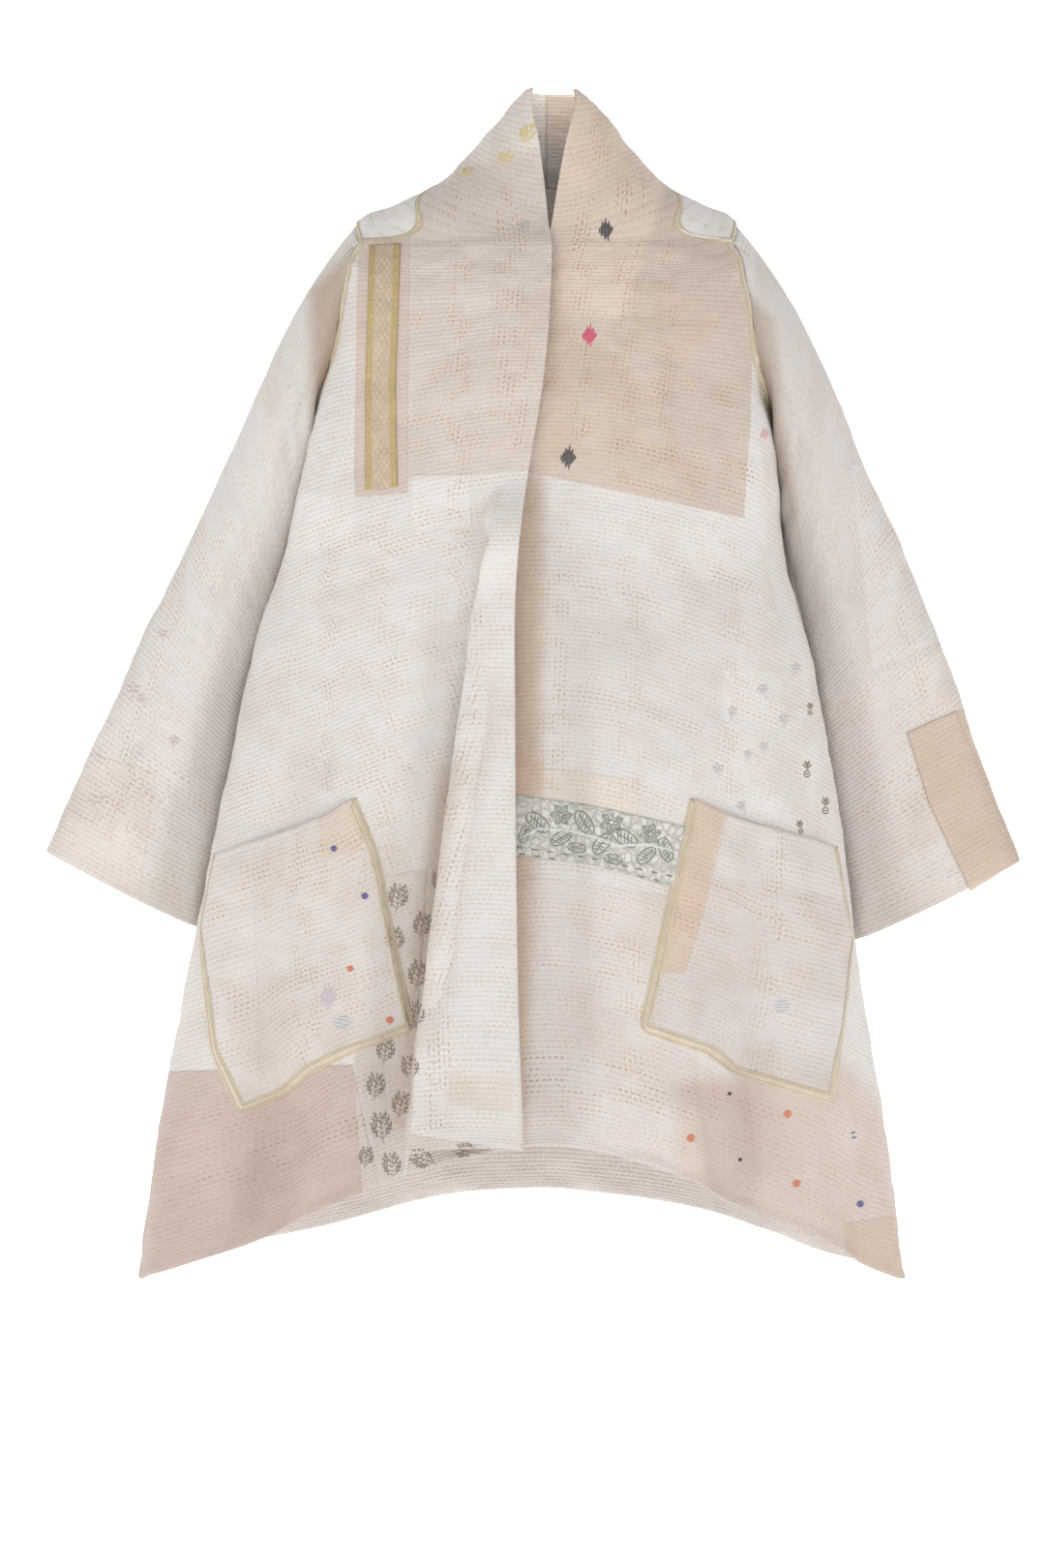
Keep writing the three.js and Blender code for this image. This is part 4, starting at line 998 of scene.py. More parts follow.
PATCHES = {
    Panel.RIGHT_FRONT: (
        Patch("lower side cloth", px((130, 880), (240, 860), (250, 1120), (130, 1120)), "#E0DAD5", 10,
              0.6, 0),
        Patch("pink upper cloth", px((373, 60), (620, 60), (620, 483), (425, 497), (366, 503)), "#D4C9C2"),
        Patch("band by the edge", px((511, 190), (600, 190), (600, 484), (505, 486)), "#D3C6BD", 5, 0.7, 0),
        Patch("upper brown band", px((425, 210), (600, 222), (600, 250), (425, 240)), "#D3C5BB", 8, 0.5, 0),
        Patch("margin of the gold border", px((371, 240), (423, 240), (421, 510), (367, 514)), "#D0C1B7"),
        Patch("white bit", px((425, 491), (487, 490), (487, 545), (425, 548)), "#E2DEDB", 1.0, 0.6),
        Patch("light collar", px((430, 60), (600, 60), (580, 150), (480, 172)), "#E2DCD6", 14, 0.8, 0),
        Patch("lower beige patch", px((100, 1400), (150, 1108), (364, 1100), (392, 1232), (380, 1400)),
              "#C9B8B0"),
        Patch(
            "tree print ground",
            px((390, 907), (466, 893), (451, 1006), (425, 1163), (420, 1245), (376, 1245), (366, 1100)),
            "#D2C8C2", 2.0,
        ),
        Patch("tree print below the strip", px((423, 1172), (542, 1190), (540, 1240), (418, 1245)),
              "#D2C8C1", 2.0),
        Patch("faint beige on the strip", px((462, 1108), (532, 1114), (530, 1150), (462, 1142)),
              "#D6C8BA", 6, 0.5, 0),
        # Painted shadow: brown darkening left of the pleat's strip, where the strip's edge shades the cloth.
        Patch(
            "painted shadow by the strip",
            px((450, 790), (482, 790), (462, 900), (444, 1006), (422, 1160), (408, 1160)),
            "#C4AF9C", 20, 0.6, 0,
        ),
        Patch("faint square over the pocket", px((372, 880), (420, 870), (430, 912), (380, 925)),
              "#DAD2CB", 3, 0.6, 0),
        Patch("light strip under the arm", px((250, 520), (366, 503), (366, 560), (240, 590)), "#E4E1DE",
              8, 0.5, 0),
    ),
    Panel.LEFT_FRONT: (
        Patch("smooth middle", px((560, 560), (800, 600), (830, 800), (560, 760)), "#D4CECB", 40, 0.8, 0),
        Patch("lower cloth", px((500, 900), (720, 930), (720, 1260), (500, 1240)), "#DBD2CD", 4, 0.8),
        Patch("lower side", px((700, 1120), (880, 1100), (990, 1250), (980, 1400), (700, 1260)),
              "#D1C1B8", 22, 0.85, 0),
        Patch("chest patch", px((500, 60), (740, 60), (777, 290), (776, 430), (768, 535), (500, 478)),
              "#CEBFB3"),
        Patch("peach collar", px((500, 60), (720, 60), (672, 245), (640, 330), (500, 330)), "#DECEC0", 10,
              0.8, 0),
        Patch("side of the chest", px((690, 230), (752, 230), (777, 330), (768, 535), (694, 518)),
              "#CDBEB3", 4, 0.8, 0),
        Patch("strip over the silver border", px((525, 790), (661, 806), (660, 846), (525, 828)),
              "#DFD4C8", 3, 0.8),
        # Painted shadow: the left end of the light strip over the border is darkened where the right front's
        # edge shades it.
        Patch("painted shadow on the border end", px((525, 778), (562, 786), (560, 820), (525, 816)), "#CDBAA6", 8,
              0.6, 0),
        # Painted shadow: brown darkening of the left front where the overlapping right front shades it.
        Patch("painted lap shadow", px((500, 478), (568, 492), (560, 700), (556, 1190), (500, 1180)),
              "#C3AC98", 20, 0.85, 0),
        # Painted shade: darker chest where the left front turns back under the right front's edge.
        Patch("painted shade in the chest", px((505, 300), (586, 260), (586, 470), (505, 470)), "#CDB9A8",
              22, 0.6, 0),
        Patch("bottom corner", px((872, 1264), (960, 1250), (960, 1400), (884, 1400)), "#CDBCAE", 3.0),
        Patch("pale florals ground", px((748, 690), (850, 700), (840, 880), (740, 850)), "#E0DCD9", 6,
              0.6, 0),
    ),
    Panel.RIGHT_POCKET: (
        Patch("pocket cloth", px((180, 780), (460, 780), (460, 1180), (180, 1180)), "#D8D0CB", 1, 1, 0),
        Patch("beige corner", px((328, 835), (372, 815), (374, 880), (332, 888)), "#D6C8BB", 2.0),
        Patch("printed side", px((210, 880), (262, 868), (270, 1160), (220, 1160)), "#DAD3CE", 4, 0.7),
        Patch("worn lower half", px((225, 1010), (440, 1000), (440, 1130), (260, 1160)), "#D6CDC7", 8,
              0.6, 0),
    ),
    Panel.LEFT_POCKET: (
        Patch("worn cloth", px((640, 780), (940, 780), (940, 1160), (640, 1160)), "#D3CAC5", 1.0, 0.9, 0),
        Patch("brown band", px((690, 800), (753, 800), (751, 845), (727, 943), (707, 1006), (640, 1000)),
              "#D1BEAE"),
        Patch("light upper part", px((751, 835), (900, 870), (890, 930), (735, 905)), "#DCD7D4", 10, 0.5, 0),
        Patch("pale lower part", px((735, 1020), (900, 1040), (880, 1090), (720, 1075)), "#D9D5D4", 14,
              0.6, 0),
    ),
    Panel.RIGHT_SLEEVE: (
        Patch("pale lower sleeve", px((60, 700), (260, 760), (260, 1000), (40, 1000)), "#DFD8D2", 8, 0.6, 0),
        Patch("grey upper sleeve", px((300, 240), (380, 240), (330, 430), (230, 420)), "#DAD5D1", 16, 0.7,
              0),
        # Painted shade: brown darkening along the crease between sleeve and body.
        Patch("painted crease shade", px((320, 300), (362, 260), (352, 400), (322, 470)), "#B5A08D", 18, 0.8,
              0),
        Patch("lower panel", px((40, 760), (160, 800), (140, 960), (30, 900)), "#E0D6CF", 2, 0.7),
    ),
    Panel.LEFT_SLEEVE: (
        Patch("sleeve cloth", px((780, 200), (1100, 200), (1100, 960), (780, 960)), "#D4CECB", 1, 1, 0),
        Patch("beige lower sleeve", px((850, 720), (1000, 660), (1080, 900), (890, 1000)), "#DDD4CE", 8,
              0.7, 0),
        # Painted shade: brown darkening along the crease between sleeve and body.
        Patch("painted crease shade", px((770, 300), (800, 330), (822, 540), (802, 480)), "#B9A695", 12, 0.6,
              0),
        Patch("pale middle", px((880, 480), (960, 450), (1020, 640), (900, 690)), "#DBD6D3", 3, 0.6),
        Patch("beige round the cuff", px((941, 757), (988, 735), (1100, 700), (1100, 940), (1004, 926)),
              "#CDBBAC", 1),
    ),
    Panel.BACK: (
        Patch("white shoulders", px((300, 100), (830, 100), (830, 300), (300, 300)), "#E4E1DD", 2, 0.9),
        Patch("beige middle of the back", px((420, 480), (700, 500), (690, 800), (410, 790)), "#D2C5BB"),
        Patch("pink lower back", px((200, 900), (520, 880), (520, 1130), (190, 1130)), "#D6CBC5"),
        # Painted light: the back's lower band is lightened to stand in for light reaching the inside of the
        # back hem under the fronts.
        Patch("painted light inside the hem", px((100, 1150), (1000, 1150), (1000, 1420), (100, 1420)), "#EAE3DE", 2,
              1.0),
    ),
    Panel.CUFF_PATCH: (
        Patch("beige cotton", px((900, 700), (1100, 700), (1100, 960), (900, 960)), "#CDBBAC"),
    ),
}


def from_segment(ends: Array, x: Array, z: Array) -> tuple[Array, Array]:
    """Distance of points from a straight segment, and how far along it they lie, from 0 to 1."""
    (x0, z0), (x1, z1) = ends
    dx, dz = x1 - x0, z1 - z0
    along = np.clip(((x - x0) * dx + (z - z0) * dz) / (dx**2 + dz**2), 0, 1)
    return np.hypot(x - x0 - along * dx, z - z0 - along * dz), along


def inside(outline: Outline, x: Array, z: Array, soft: float) -> Array:
    """How far points lie inside a closed outline, from 0 outside to 1 at soft inside its edge."""
    corners = np.array(outline)
    hit = np.zeros(x.shape, dtype=bool)
    near = np.full(x.shape, 1e9)
    for (x0, z0), (x1, z1) in zip(corners, np.roll(corners, -1, axis=0)):
        crosses = (z0 > z) != (z1 > z)
        with np.errstate(divide="ignore", invalid="ignore"):
            hit ^= crosses & (x < (x1 - x0) * (z - z0) / (z1 - z0) + x0)
        near = np.minimum(near, from_segment(((x0, z0), (x1, z1)), x, z)[0])
    signed = np.where(hit, near, -near)
    return smooth(signed / max(soft, 0.1) + 0.5)


class Way(Enum):
    """Which way a band's stitches run."""

    ROWS = "rows"
    COLUMNS = "columns"


@dataclass(frozen=True)
class StitchBand:
    """A band of running stitches whose thread has kept its colour, as an outline on the front view."""

    way: Way
    outline: Outline
    colour: str
    strength: float = 0.95
    soft: float = 6.0


ROWS, COLUMNS = Way
TAN, ORANGE, ROSE, YELLOW = "#A8845E", "#BC885A", "#B08674", "#BB9A58"
STITCH_BANDS = {
    Panel.RIGHT_FRONT: (
        StitchBand(COLUMNS, px((465, 120), (488, 110), (486, 620), (462, 620)), ORANGE, 0.85),
        StitchBand(COLUMNS, px((512, 190), (548, 200), (546, 470), (505, 470)), TAN, 0.85),
        StitchBand(COLUMNS, px((470, 600), (502, 600), (462, 1170), (436, 1170)), TAN, 0.85),
        StitchBand(ROWS, px((420, 318), (490, 318), (490, 345), (420, 345)), ORANGE),
        StitchBand(ROWS, px((420, 376), (484, 376), (484, 402), (420, 402)), ORANGE),
        StitchBand(ROWS, px((422, 424), (500, 424), (500, 462), (422, 462)), YELLOW, 0.85),
        StitchBand(ROWS, px((250, 545), (505, 520), (505, 575), (230, 620)), YELLOW, 0.85),
        StitchBand(ROWS, px((215, 690), (495, 660), (480, 700), (205, 740)), ROSE, 0.75),
        StitchBand(ROWS, px((190, 800), (470, 770), (465, 812), (185, 850)), ORANGE, 0.75),
        StitchBand(ROWS, px((160, 1150), (380, 1110), (380, 1190), (150, 1250)), TAN, 0.75),
        StitchBand(COLUMNS, px((330, 560), (352, 560), (345, 820), (322, 830)), ROSE, 0.7),
        StitchBand(COLUMNS, px((392, 540), (412, 540), (408, 900), (388, 900)), YELLOW, 0.7),
    ),
    Panel.LEFT_FRONT: (
        StitchBand(COLUMNS, px((590, 200), (612, 200), (610, 470), (588, 470)), TAN, 1),
        StitchBand(COLUMNS, px((612, 110), (636, 120), (636, 180), (610, 170)), ORANGE),
        StitchBand(COLUMNS, px((637, 150), (668, 180), (652, 500), (628, 480)), TAN, 0.95),
        StitchBand(COLUMNS, px((682, 250), (699, 250), (696, 510), (680, 505)), ROSE, 0.95),
        StitchBand(COLUMNS, px((562, 560), (590, 560), (582, 820), (555, 820)), TAN, 0.75),
        StitchBand(COLUMNS, px((640, 560), (662, 560), (668, 1160), (640, 1160)), YELLOW, 0.75),
        StitchBand(COLUMNS, px((742, 560), (762, 560), (770, 820), (748, 820)), ORANGE, 0.7),
        StitchBand(ROWS, px((560, 384), (780, 396), (780, 424), (560, 408)), ORANGE),
        StitchBand(ROWS, px((635, 452), (780, 480), (780, 528), (635, 498)), TAN, 1),
        StitchBand(ROWS, px((545, 560), (800, 590), (810, 640), (545, 604)), ROSE, 0.8),
        StitchBand(ROWS, px((540, 700), (830, 730), (835, 770), (540, 742)), YELLOW, 0.75),
        StitchBand(ROWS, px((540, 930), (670, 940), (660, 1010), (540, 1000)), ORANGE, 0.75),
        StitchBand(ROWS, px((540, 1080), (700, 1100), (860, 1160), (540, 1150)), TAN, 0.8),
    ),
    Panel.RIGHT_POCKET: (
        StitchBand(ROWS, px((205, 900), (390, 850), (395, 900), (205, 960)), ORANGE, 0.85),
        StitchBand(COLUMNS, px((290, 850), (318, 850), (340, 1120), (312, 1120)), TAN, 0.8),
        StitchBand(ROWS, px((205, 1030), (420, 980), (420, 1040), (215, 1090)), ROSE, 0.75),
    ),
    Panel.LEFT_POCKET: (
        StitchBand(ROWS, px((700, 900), (890, 930), (890, 980), (690, 960)), ORANGE, 0.85),
        StitchBand(COLUMNS, px((790, 850), (815, 850), (800, 1120), (770, 1120)), TAN, 0.75),
    ),
    Panel.RIGHT_SLEEVE: (
        StitchBand(ROWS, px((180, 520), (320, 560), (300, 620), (150, 590)), YELLOW, 0.75, 14),
        StitchBand(ROWS, px((80, 760), (240, 800), (220, 880), (50, 850)), ROSE, 0.8, 14),
        StitchBand(COLUMNS, px((200, 420), (235, 430), (130, 880), (90, 870)), TAN, 0.7, 10),
    ),
    Panel.LEFT_SLEEVE: (
        StitchBand(ROWS, px((830, 520), (920, 480), (950, 560), (850, 600)), YELLOW, 0.75, 14),
        StitchBand(ROWS, px((880, 780), (1010, 740), (1030, 820), (890, 860)), TAN, 0.8, 14),
        StitchBand(COLUMNS, px((860, 400), (885, 390), (990, 760), (960, 780)), ORANGE, 0.65, 10),
    ),
}


class Dyer:
    """Gives cloth its place on the front view and the thread colours of its bands."""

    thread = "#B9A384"
    plain = 0.6

    def paint(self, piece: bpy.types.Object, panel: Panel) -> None:
        """Writes the cloth's attributes.

        Args:
            piece: a piece of quilted cloth.
            panel: which cut piece it is.
        """
        points = np.empty(len(piece.data.vertices) * 3)
        piece.data.vertices.foreach_get("co", points)
        points = points.reshape(-1, 3) / MM
        x, z = seen_flat(points)
        faces_front = (points[:, 1] < 60) | (panel is Panel.BACK)
        view = piece.data.attributes.new("front_view", "FLOAT_VECTOR", "POINT")
        shown = np.stack([np.where(faces_front, x, 4000.0), z, np.ones(len(x))], axis=1)
        view.data.foreach_set("vector", shown.ravel())
        for way in Way:
            colour = np.tile(np.array(linear(self.thread)), (len(x), 1))
            strength = np.full(len(x), self.plain if way is Way.ROWS else 0.0)
            hidden = soft_noise(x / 60, z / 300 if way is Way.COLUMNS else z / 40, 7)
            strength = np.where(faces_front, strength, np.clip(hidden, 0, 1) * 0.5)
            for band in STITCH_BANDS.get(panel, ()):
                if band.way is way:
                    share = inside(band.outline, x, z, band.soft) * faces_front
                    colour = colour + (np.array(linear(band.colour)) - colour) * share[:, None]
                    strength = strength + (band.strength - strength) * share
            layer = piece.data.color_attributes.new(name=way.value, type="FLOAT_COLOR", domain="POINT")
            layer.data.foreach_set("color", np.concatenate([colour, strength[:, None]], axis=1).ravel())


@dataclass(frozen=True)
class Crease:
    """A crease: its line on the front view, its width and its outward depth."""

    line: Outline
    width: float
    depth: float


CREASE_SCALE = 1.25
# How far the sleeves' inner sides and the body's sides are let out, so that no light shows between them.
SLEEVE_EASE = 8.0
SIDE_EASE = 7.0
CREASES = {
    Panel.RIGHT_FRONT: (
        Crease(px((502, 640), (480, 800), (456, 960), (440, 1080)), 26, -7),
        Crease(px((330, 880), (345, 1050), (300, 1180), (268, 1262)), 34, -8),
        Crease(px((300, 560), (322, 700), (338, 860)), 30, -4),
        Crease(px((430, 560), (425, 700), (408, 860)), 34, 4),
        Crease(px((337, 285), (322, 370), (296, 480), (268, 600)), 24, -5),
        Crease(px((395, 270), (372, 380), (350, 480)), 26, 3),
        Crease(px((505, 250), (512, 330), (500, 430)), 30, 2.5),
    ),
    Panel.LEFT_FRONT: (
        Crease(px((687, 250), (694, 343), (700, 430)), 20, -4),
        Crease(px((735, 1080), (760, 1223), (790, 1300)), 30, -9),
        Crease(px((700, 1120), (712, 1215)), 26, 5),
        Crease(px((640, 560), (650, 760), (655, 1000), (650, 1190)), 34, 3.5),
        Crease(px((600, 540), (590, 700), (592, 900), (600, 1170)), 26, -3),
        Crease(px((780, 318), (795, 420), (806, 560), (815, 700)), 22, -5),
        Crease(px((740, 380), (748, 520), (760, 700)), 28, 3),
        Crease(px((820, 850), (850, 1000), (880, 1180)), 30, 4),
    ),
    Panel.RIGHT_SLEEVE: (
        Crease(px((300, 330), (235, 480), (170, 640), (110, 850)), 20, -5),
        Crease(px((285, 480), (238, 650), (205, 900)), 22, -5),
        Crease(px((240, 420), (180, 560), (130, 700)), 20, 4),
        Crease(px((150, 760), (128, 870)), 16, 4),
        Crease(px((196, 800), (176, 905)), 14, -4),
    ),
    Panel.LEFT_SLEEVE: (
        Crease(px((818, 300), (860, 470), (905, 640), (950, 850)), 20, -5),
        Crease(px((850, 420), (878, 600), (900, 900)), 22, -4),
        Crease(px((890, 480), (950, 640), (1000, 780)), 20, 4),
        Crease(px((905, 640), (930, 780), (948, 880)), 18, -5),
    ),
}


def along_line(line: Array, x: Array, z: Array) -> tuple[Array, Array]:
    """Distance of points from a polyline and how far along it they lie, from 0 to 1."""
    best = np.full(x.shape, 1e9)
    where = np.zeros(x.shape)
    lengths = lengths_along(line)
    for ends, start, stop in zip(zip(line, line[1:]), lengths, lengths[1:]):
        near, along = from_segment(ends, x, z)
        closer = near < best
        best = np.where(closer, near, best)
        where = np.where(closer, (start + along * (stop - start)) / lengths[-1], where)
    return best, where


def seen_flat(points: Array) -> tuple[Array, Array]:
    """Where points appear on the front view, as X and Z on the plane through the origin."""
    scale = -EYE[1] / (points[..., 1] - EYE[1])
    return EYE[0] + (points[..., 0] - EYE[0]) * scale, EYE[2] + (points[..., 2] - EYE[2]) * scale


def shell(grid: Grid, inner: float, outer: float) -> tuple[Array, Array, Array, int]:
    """The closed shell of a grid.

    Args:
        grid: the piece.
        inner: offset of the inner face in millimetres.
        outer: offset of the outer face.

    Returns:
        Points, quads, the quads' corner measures on the cloth, and how many quads are outer ones.
    """
    rows, columns = grid.points.shape[:2]
    normal = grid.normals()
    points = np.concatenate([(grid.points + normal * off).reshape(-1, 3) for off in (outer, inner)])
    i, j = np.nonzero(grid.keep)
    next_j = (j + 1) % columns
    corners = [(i, j), (i, next_j), (i + 1, next_j), (i + 1, j)]
    wide = columns + 1 if grid.closed else columns
    uv = grid.uv
    if grid.closed:
        last = uv[:, :1] + (uv[:, 1:2] - uv[:, :1]) * columns
        uv = np.concatenate([uv, np.stack([last[..., 0], uv[:, 0, 1][:, None]], axis=-1)], axis=1)
    uv_corners = [(i, j), (i, j + 1), (i + 1, j + 1), (i + 1, j)]
    face = np.stack([a * columns + b for a, b in corners], axis=1)
    measure = np.stack([a * wide + b for a, b in uv_corners], axis=1)
    if grid.outward < 0:
        face, measure = face[:, ::-1], measure[:, ::-1]
    size = rows * columns
    start = face.ravel()
    end = np.roll(face, -1, axis=1).ravel()
    code = start.astype(np.int64) * size + end
    opposite = end.astype(np.int64) * size + start
    edge = ~np.isin(code, opposite)
    s, e = start[edge], end[edge]
    ms, me = measure.ravel()[edge], np.roll(measure, -1, axis=1).ravel()[edge]
    rim = np.stack([s, s + size, e + size, e], axis=1)
    rim_measure = np.stack([ms, ms, me, me], axis=1)
    quads = np.concatenate([face, face[:, ::-1] + size, rim])
    measures = np.concatenate([measure, measure[:, ::-1], rim_measure])
    return points, quads, uv.reshape(-1, 2)[measures], len(face)


def make_mesh(name: str, points: Array, faces: Array, uv: Array | None = None) -> bpy.types.Object:
    """Makes an object of faces with the same number of corners.

    Args:
        name: the piece's name.
        points: its points in millimetres.
        faces: corner indices, one row a face.
        uv: a place on the cloth for each corner of each face, in millimetres.

    Returns:
        The object, at the origin.
    """
    used, flat = np.unique(faces, return_inverse=True)
    faces = flat.reshape(faces.shape)
    points = points[used]
    mesh = bpy.data.meshes.new(name)
    count, sides = faces.shape
    mesh.vertices.add(len(points))
    mesh.vertices.foreach_set("co", (points * MM).ravel())
    mesh.loops.add(count * sides)
    mesh.loops.foreach_set("vertex_index", faces.ravel())
    mesh.polygons.add(count)
    mesh.polygons.foreach_set("loop_start", np.arange(count) * sides)
    mesh.update(calc_edges=True)
    if uv is not None:
        layer = mesh.uv_layers.new(name="cloth")
        layer.data.foreach_set("uv", uv.ravel())
    mesh.validate()
    mesh.shade_smooth()
    piece = bpy.data.objects.new(name, mesh)
    bpy.context.scene.collection.objects.link(piece)
    return piece


class Surfaces:
    """The outer faces of what is already made, for laying further pieces on them."""

    def __init__(self) -> None:
        """Starts with nothing to lie on."""
        self.trees: dict[str, BVHTree] = {}

    def add(self, name: str, points: Array, faces: Array) -> None:
        """Adds a piece's outer faces to lie on, points in millimetres."""
        self.trees[name] = BVHTree.FromPolygons(points.tolist(), faces.tolist())

    def on(self, *names: str) -> "Surfaces":
        """The same surfaces with only the named pieces, or with all where none is named."""
        chosen = Surfaces()
        chosen.trees = {name: self.trees[name] for name in names or self.trees}
        return chosen

    def from_front(self, x: Array, z: Array) -> Array:
        """The first surface points that face the viewpoint, seen through places on the front view."""
        eye = Vector(EYE)
        found = np.full(x.shape + (3,), np.nan)
        for index in np.ndindex(x.shape):
            aim = Vector((float(x[index]), 0.0, float(z[index]))) - eye
            hits = [tree.ray_cast(eye, aim) for tree in self.trees.values()]
            hits = [hit for hit in hits if hit[0] is not None and hit[1].dot(aim) < 0]
            if hits:
                found[index] = min(hits, key=lambda hit: hit[3])[0]
        return found

    def nearest(self, points: Array, answer: int = 0) -> Array:
        """The surface points nearest to given points, or the normals there where the answer is 1."""
        found = np.empty_like(points)
        for index in np.ndindex(points.shape[:-1]):
            hits = [tree.find_nearest(Vector(points[index])) for tree in self.trees.values()]
            hits = [hit for hit in hits if hit[0] is not None]
            found[index] = min(hits, key=lambda hit: hit[3])[answer]
        return found

    def under(self, points: Array, away: Array) -> Array:
        """The surface points met first when rows of points are let down on the cloth.

        Args:
            points: rows of points near the cloth.
            away: for each row, the way that leads off the cloth.

        Returns:
            The points met, or the nearest ones where nothing lies under.
        """
        found = self.nearest(points)
        for index in np.ndindex(points.shape[:-1]):
            inwards = Vector(-away[index[0]]).normalized()
            start = Vector(points[index]) - inwards * 8.0
            hits = [tree.ray_cast(start, inwards, 20.0) for tree in self.trees.values()]
            hits = [hit for hit in hits if hit[0] is not None]
            if hits:
                found[index] = min(hits, key=lambda hit: hit[3])[0]
        return found


def soften(points: Array, times: int) -> Array:
    """Averages a grid's inner points with their neighbours."""
    points = points.copy()
    for _ in range(times):
        middle = points[1:-1, 1:-1]
        around = points[:-2, 1:-1] + points[2:, 1:-1] + points[1:-1, :-2] + points[1:-1, 2:]
        points[1:-1, 1:-1] = middle * 0.4 + around * 0.15
        for edge in (points[0], points[-1], points[:, 0], points[:, -1]):
            edge[1:-1] = edge[1:-1] * 0.5 + (edge[:-2] + edge[2:]) * 0.25
    return points


def fill_gaps(points: Array, places: Array) -> Array:
    """Gives points that met nothing the depth of the nearest one in their row or column."""
    points = points.copy()
    depths = points[..., 1].copy()
    for lines in (depths, depths.T):
        for line in lines:
            good = ~np.isnan(line)
            if good.any() and not good.all():
                index = np.arange(len(line))
                line[~good] = np.interp(index[~good], index[good], line[good])
    missed = np.isnan(points[..., 0])
    aims = np.stack([places[..., 0], np.zeros(missed.shape), places[..., 1]], axis=-1) - EYE
    share = (depths - EYE[1]) / aims[..., 1]
    points[missed] = (EYE + aims * share[..., None])[missed]
    return points


def dress(piece: bpy.types.Object, material: bpy.types.Material, node: str = "") -> None:
    """Gives a piece its material and its place on the jacket.

    Args:
        piece: the piece.
        material: its finish.
        node: the solid that it stands for, if it stands for one.
    """
    piece.data.materials.append(material)
    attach(piece, "root")
    if node:
        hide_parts(node)


@dataclass
class ClothPanels:
    """The five big panels: both fronts, the back and both sleeves."""

    form: BodyForm
    surfaces: Surfaces
    dyer: Dyer
    half_wall: float = 0.9
    rows: int = 236
    front_columns: int = 120
    back_columns: int = 196
    sleeve_rows: int = 180
    sleeve_columns: int = 120

    def grids(self) -> dict[Panel, Grid]:
        """Cuts all panels."""
        pattern = Pattern(self.form)
        return {
            Panel.RIGHT_FRONT: pattern.front(-1, self.rows, self.front_columns + 40),
            Panel.LEFT_FRONT: pattern.front(1, self.rows, self.front_columns),
            Panel.BACK: pattern.back(self.rows, self.back_columns),
            Panel.RIGHT_SLEEVE: pattern.sleeve(-1, self.sleeve_rows, self.sleeve_columns),
            Panel.LEFT_SLEEVE: pattern.sleeve(1, self.sleeve_rows, self.sleeve_columns),
        }

    def relief(self, panel: Panel, grid: Grid) -> Array:
        """How far each point is moved outward by creases, puckers and the turned hem."""
        u, v = grid.uv[..., 0], grid.uv[..., 1]
        seed = list(Panel).index(panel) * 10
        move = 1.5 * soft_noise(u / 85 + 3, v / 60, seed + 1)
        move = move + 1.0 * soft_noise(u / 30, v / 19 + 7, seed + 2)
        move = move + 0.5 * soft_noise(u / 11, v / 8, seed + 3)
        x, z = seen_flat(grid.points)
        front = grid.points[..., 1] < 40
        for crease in CREASES.get(panel, ()):
            near, where = along_line(np.array(crease.line), x, z)
            taper = smooth(where * 4) * smooth((1 - where) * 3 + 0.25)
            move = move + CREASE_SCALE * crease.depth * bump(near / crease.width) * taper * front
        if panel in (Panel.RIGHT_SLEEVE, Panel.LEFT_SLEEVE):
            side = Side.RIGHT.value if panel is Panel.RIGHT_SLEEVE else Side.LEFT.value
            inward = smooth(-side * grid.normals()[..., 0] * 1.3)
            ease = SLEEVE_EASE * inward * smooth((578 - v) / 40) * smooth(v / 30 + 0.5)
            return np.maximum(move, move * 0.3) * smooth((560 - v) / 60 + 0.05) + ease
        sideways = smooth((np.abs(grid.normals()[..., 0]) - 0.35) / 0.4)
        move = move + SIDE_EASE * sideways * bump((grid.points[..., 2] + 235) / 95)
        return move + (v < 8) * 0.5

    def build(self) -> None:
        """Makes the panels and gives them their finish."""
        replaced = {
            Panel.RIGHT_FRONT: "front_right",
            Panel.LEFT_FRONT: "front_left",
            Panel.BACK: "back",
            Panel.RIGHT_SLEEVE: "sleeve_right",
            Panel.LEFT_SLEEVE: "sleeve_left",
        }
        for panel, grid in self.grids().items():
            grid.points = grid.points + grid.normals() * self.relief(panel, grid)[..., None]
            points, quads, uv, outer = shell(grid, -self.half_wall, self.half_wall)
            piece = make_mesh(panel.value, points, quads, uv)
            self.surfaces.add(panel.value, points, quads[:outer])
            self.dyer.paint(piece, panel)
            cloth = QuiltedCotton(f"{panel.value} quilted cotton", PATCHES[panel]).build()
            dress(piece, cloth, replaced[panel])
            log.info("%s: %d faces", panel.value, len(piece.data.polygons))


class Side(Enum):
    """The wearer's sides, with the sign of their X."""

    RIGHT = -1
    LEFT = 1


def walk(line: Sequence[tuple[float, float]], share: Array) -> Array:
    """Points at shares of a polyline's length."""
    corners = np.array(line, dtype=float)
    lengths = lengths_along(corners)
    return np.stack([np.interp(share * lengths[-1], lengths, corners[:, axis]) for axis in (0, 1)], axis=-1)


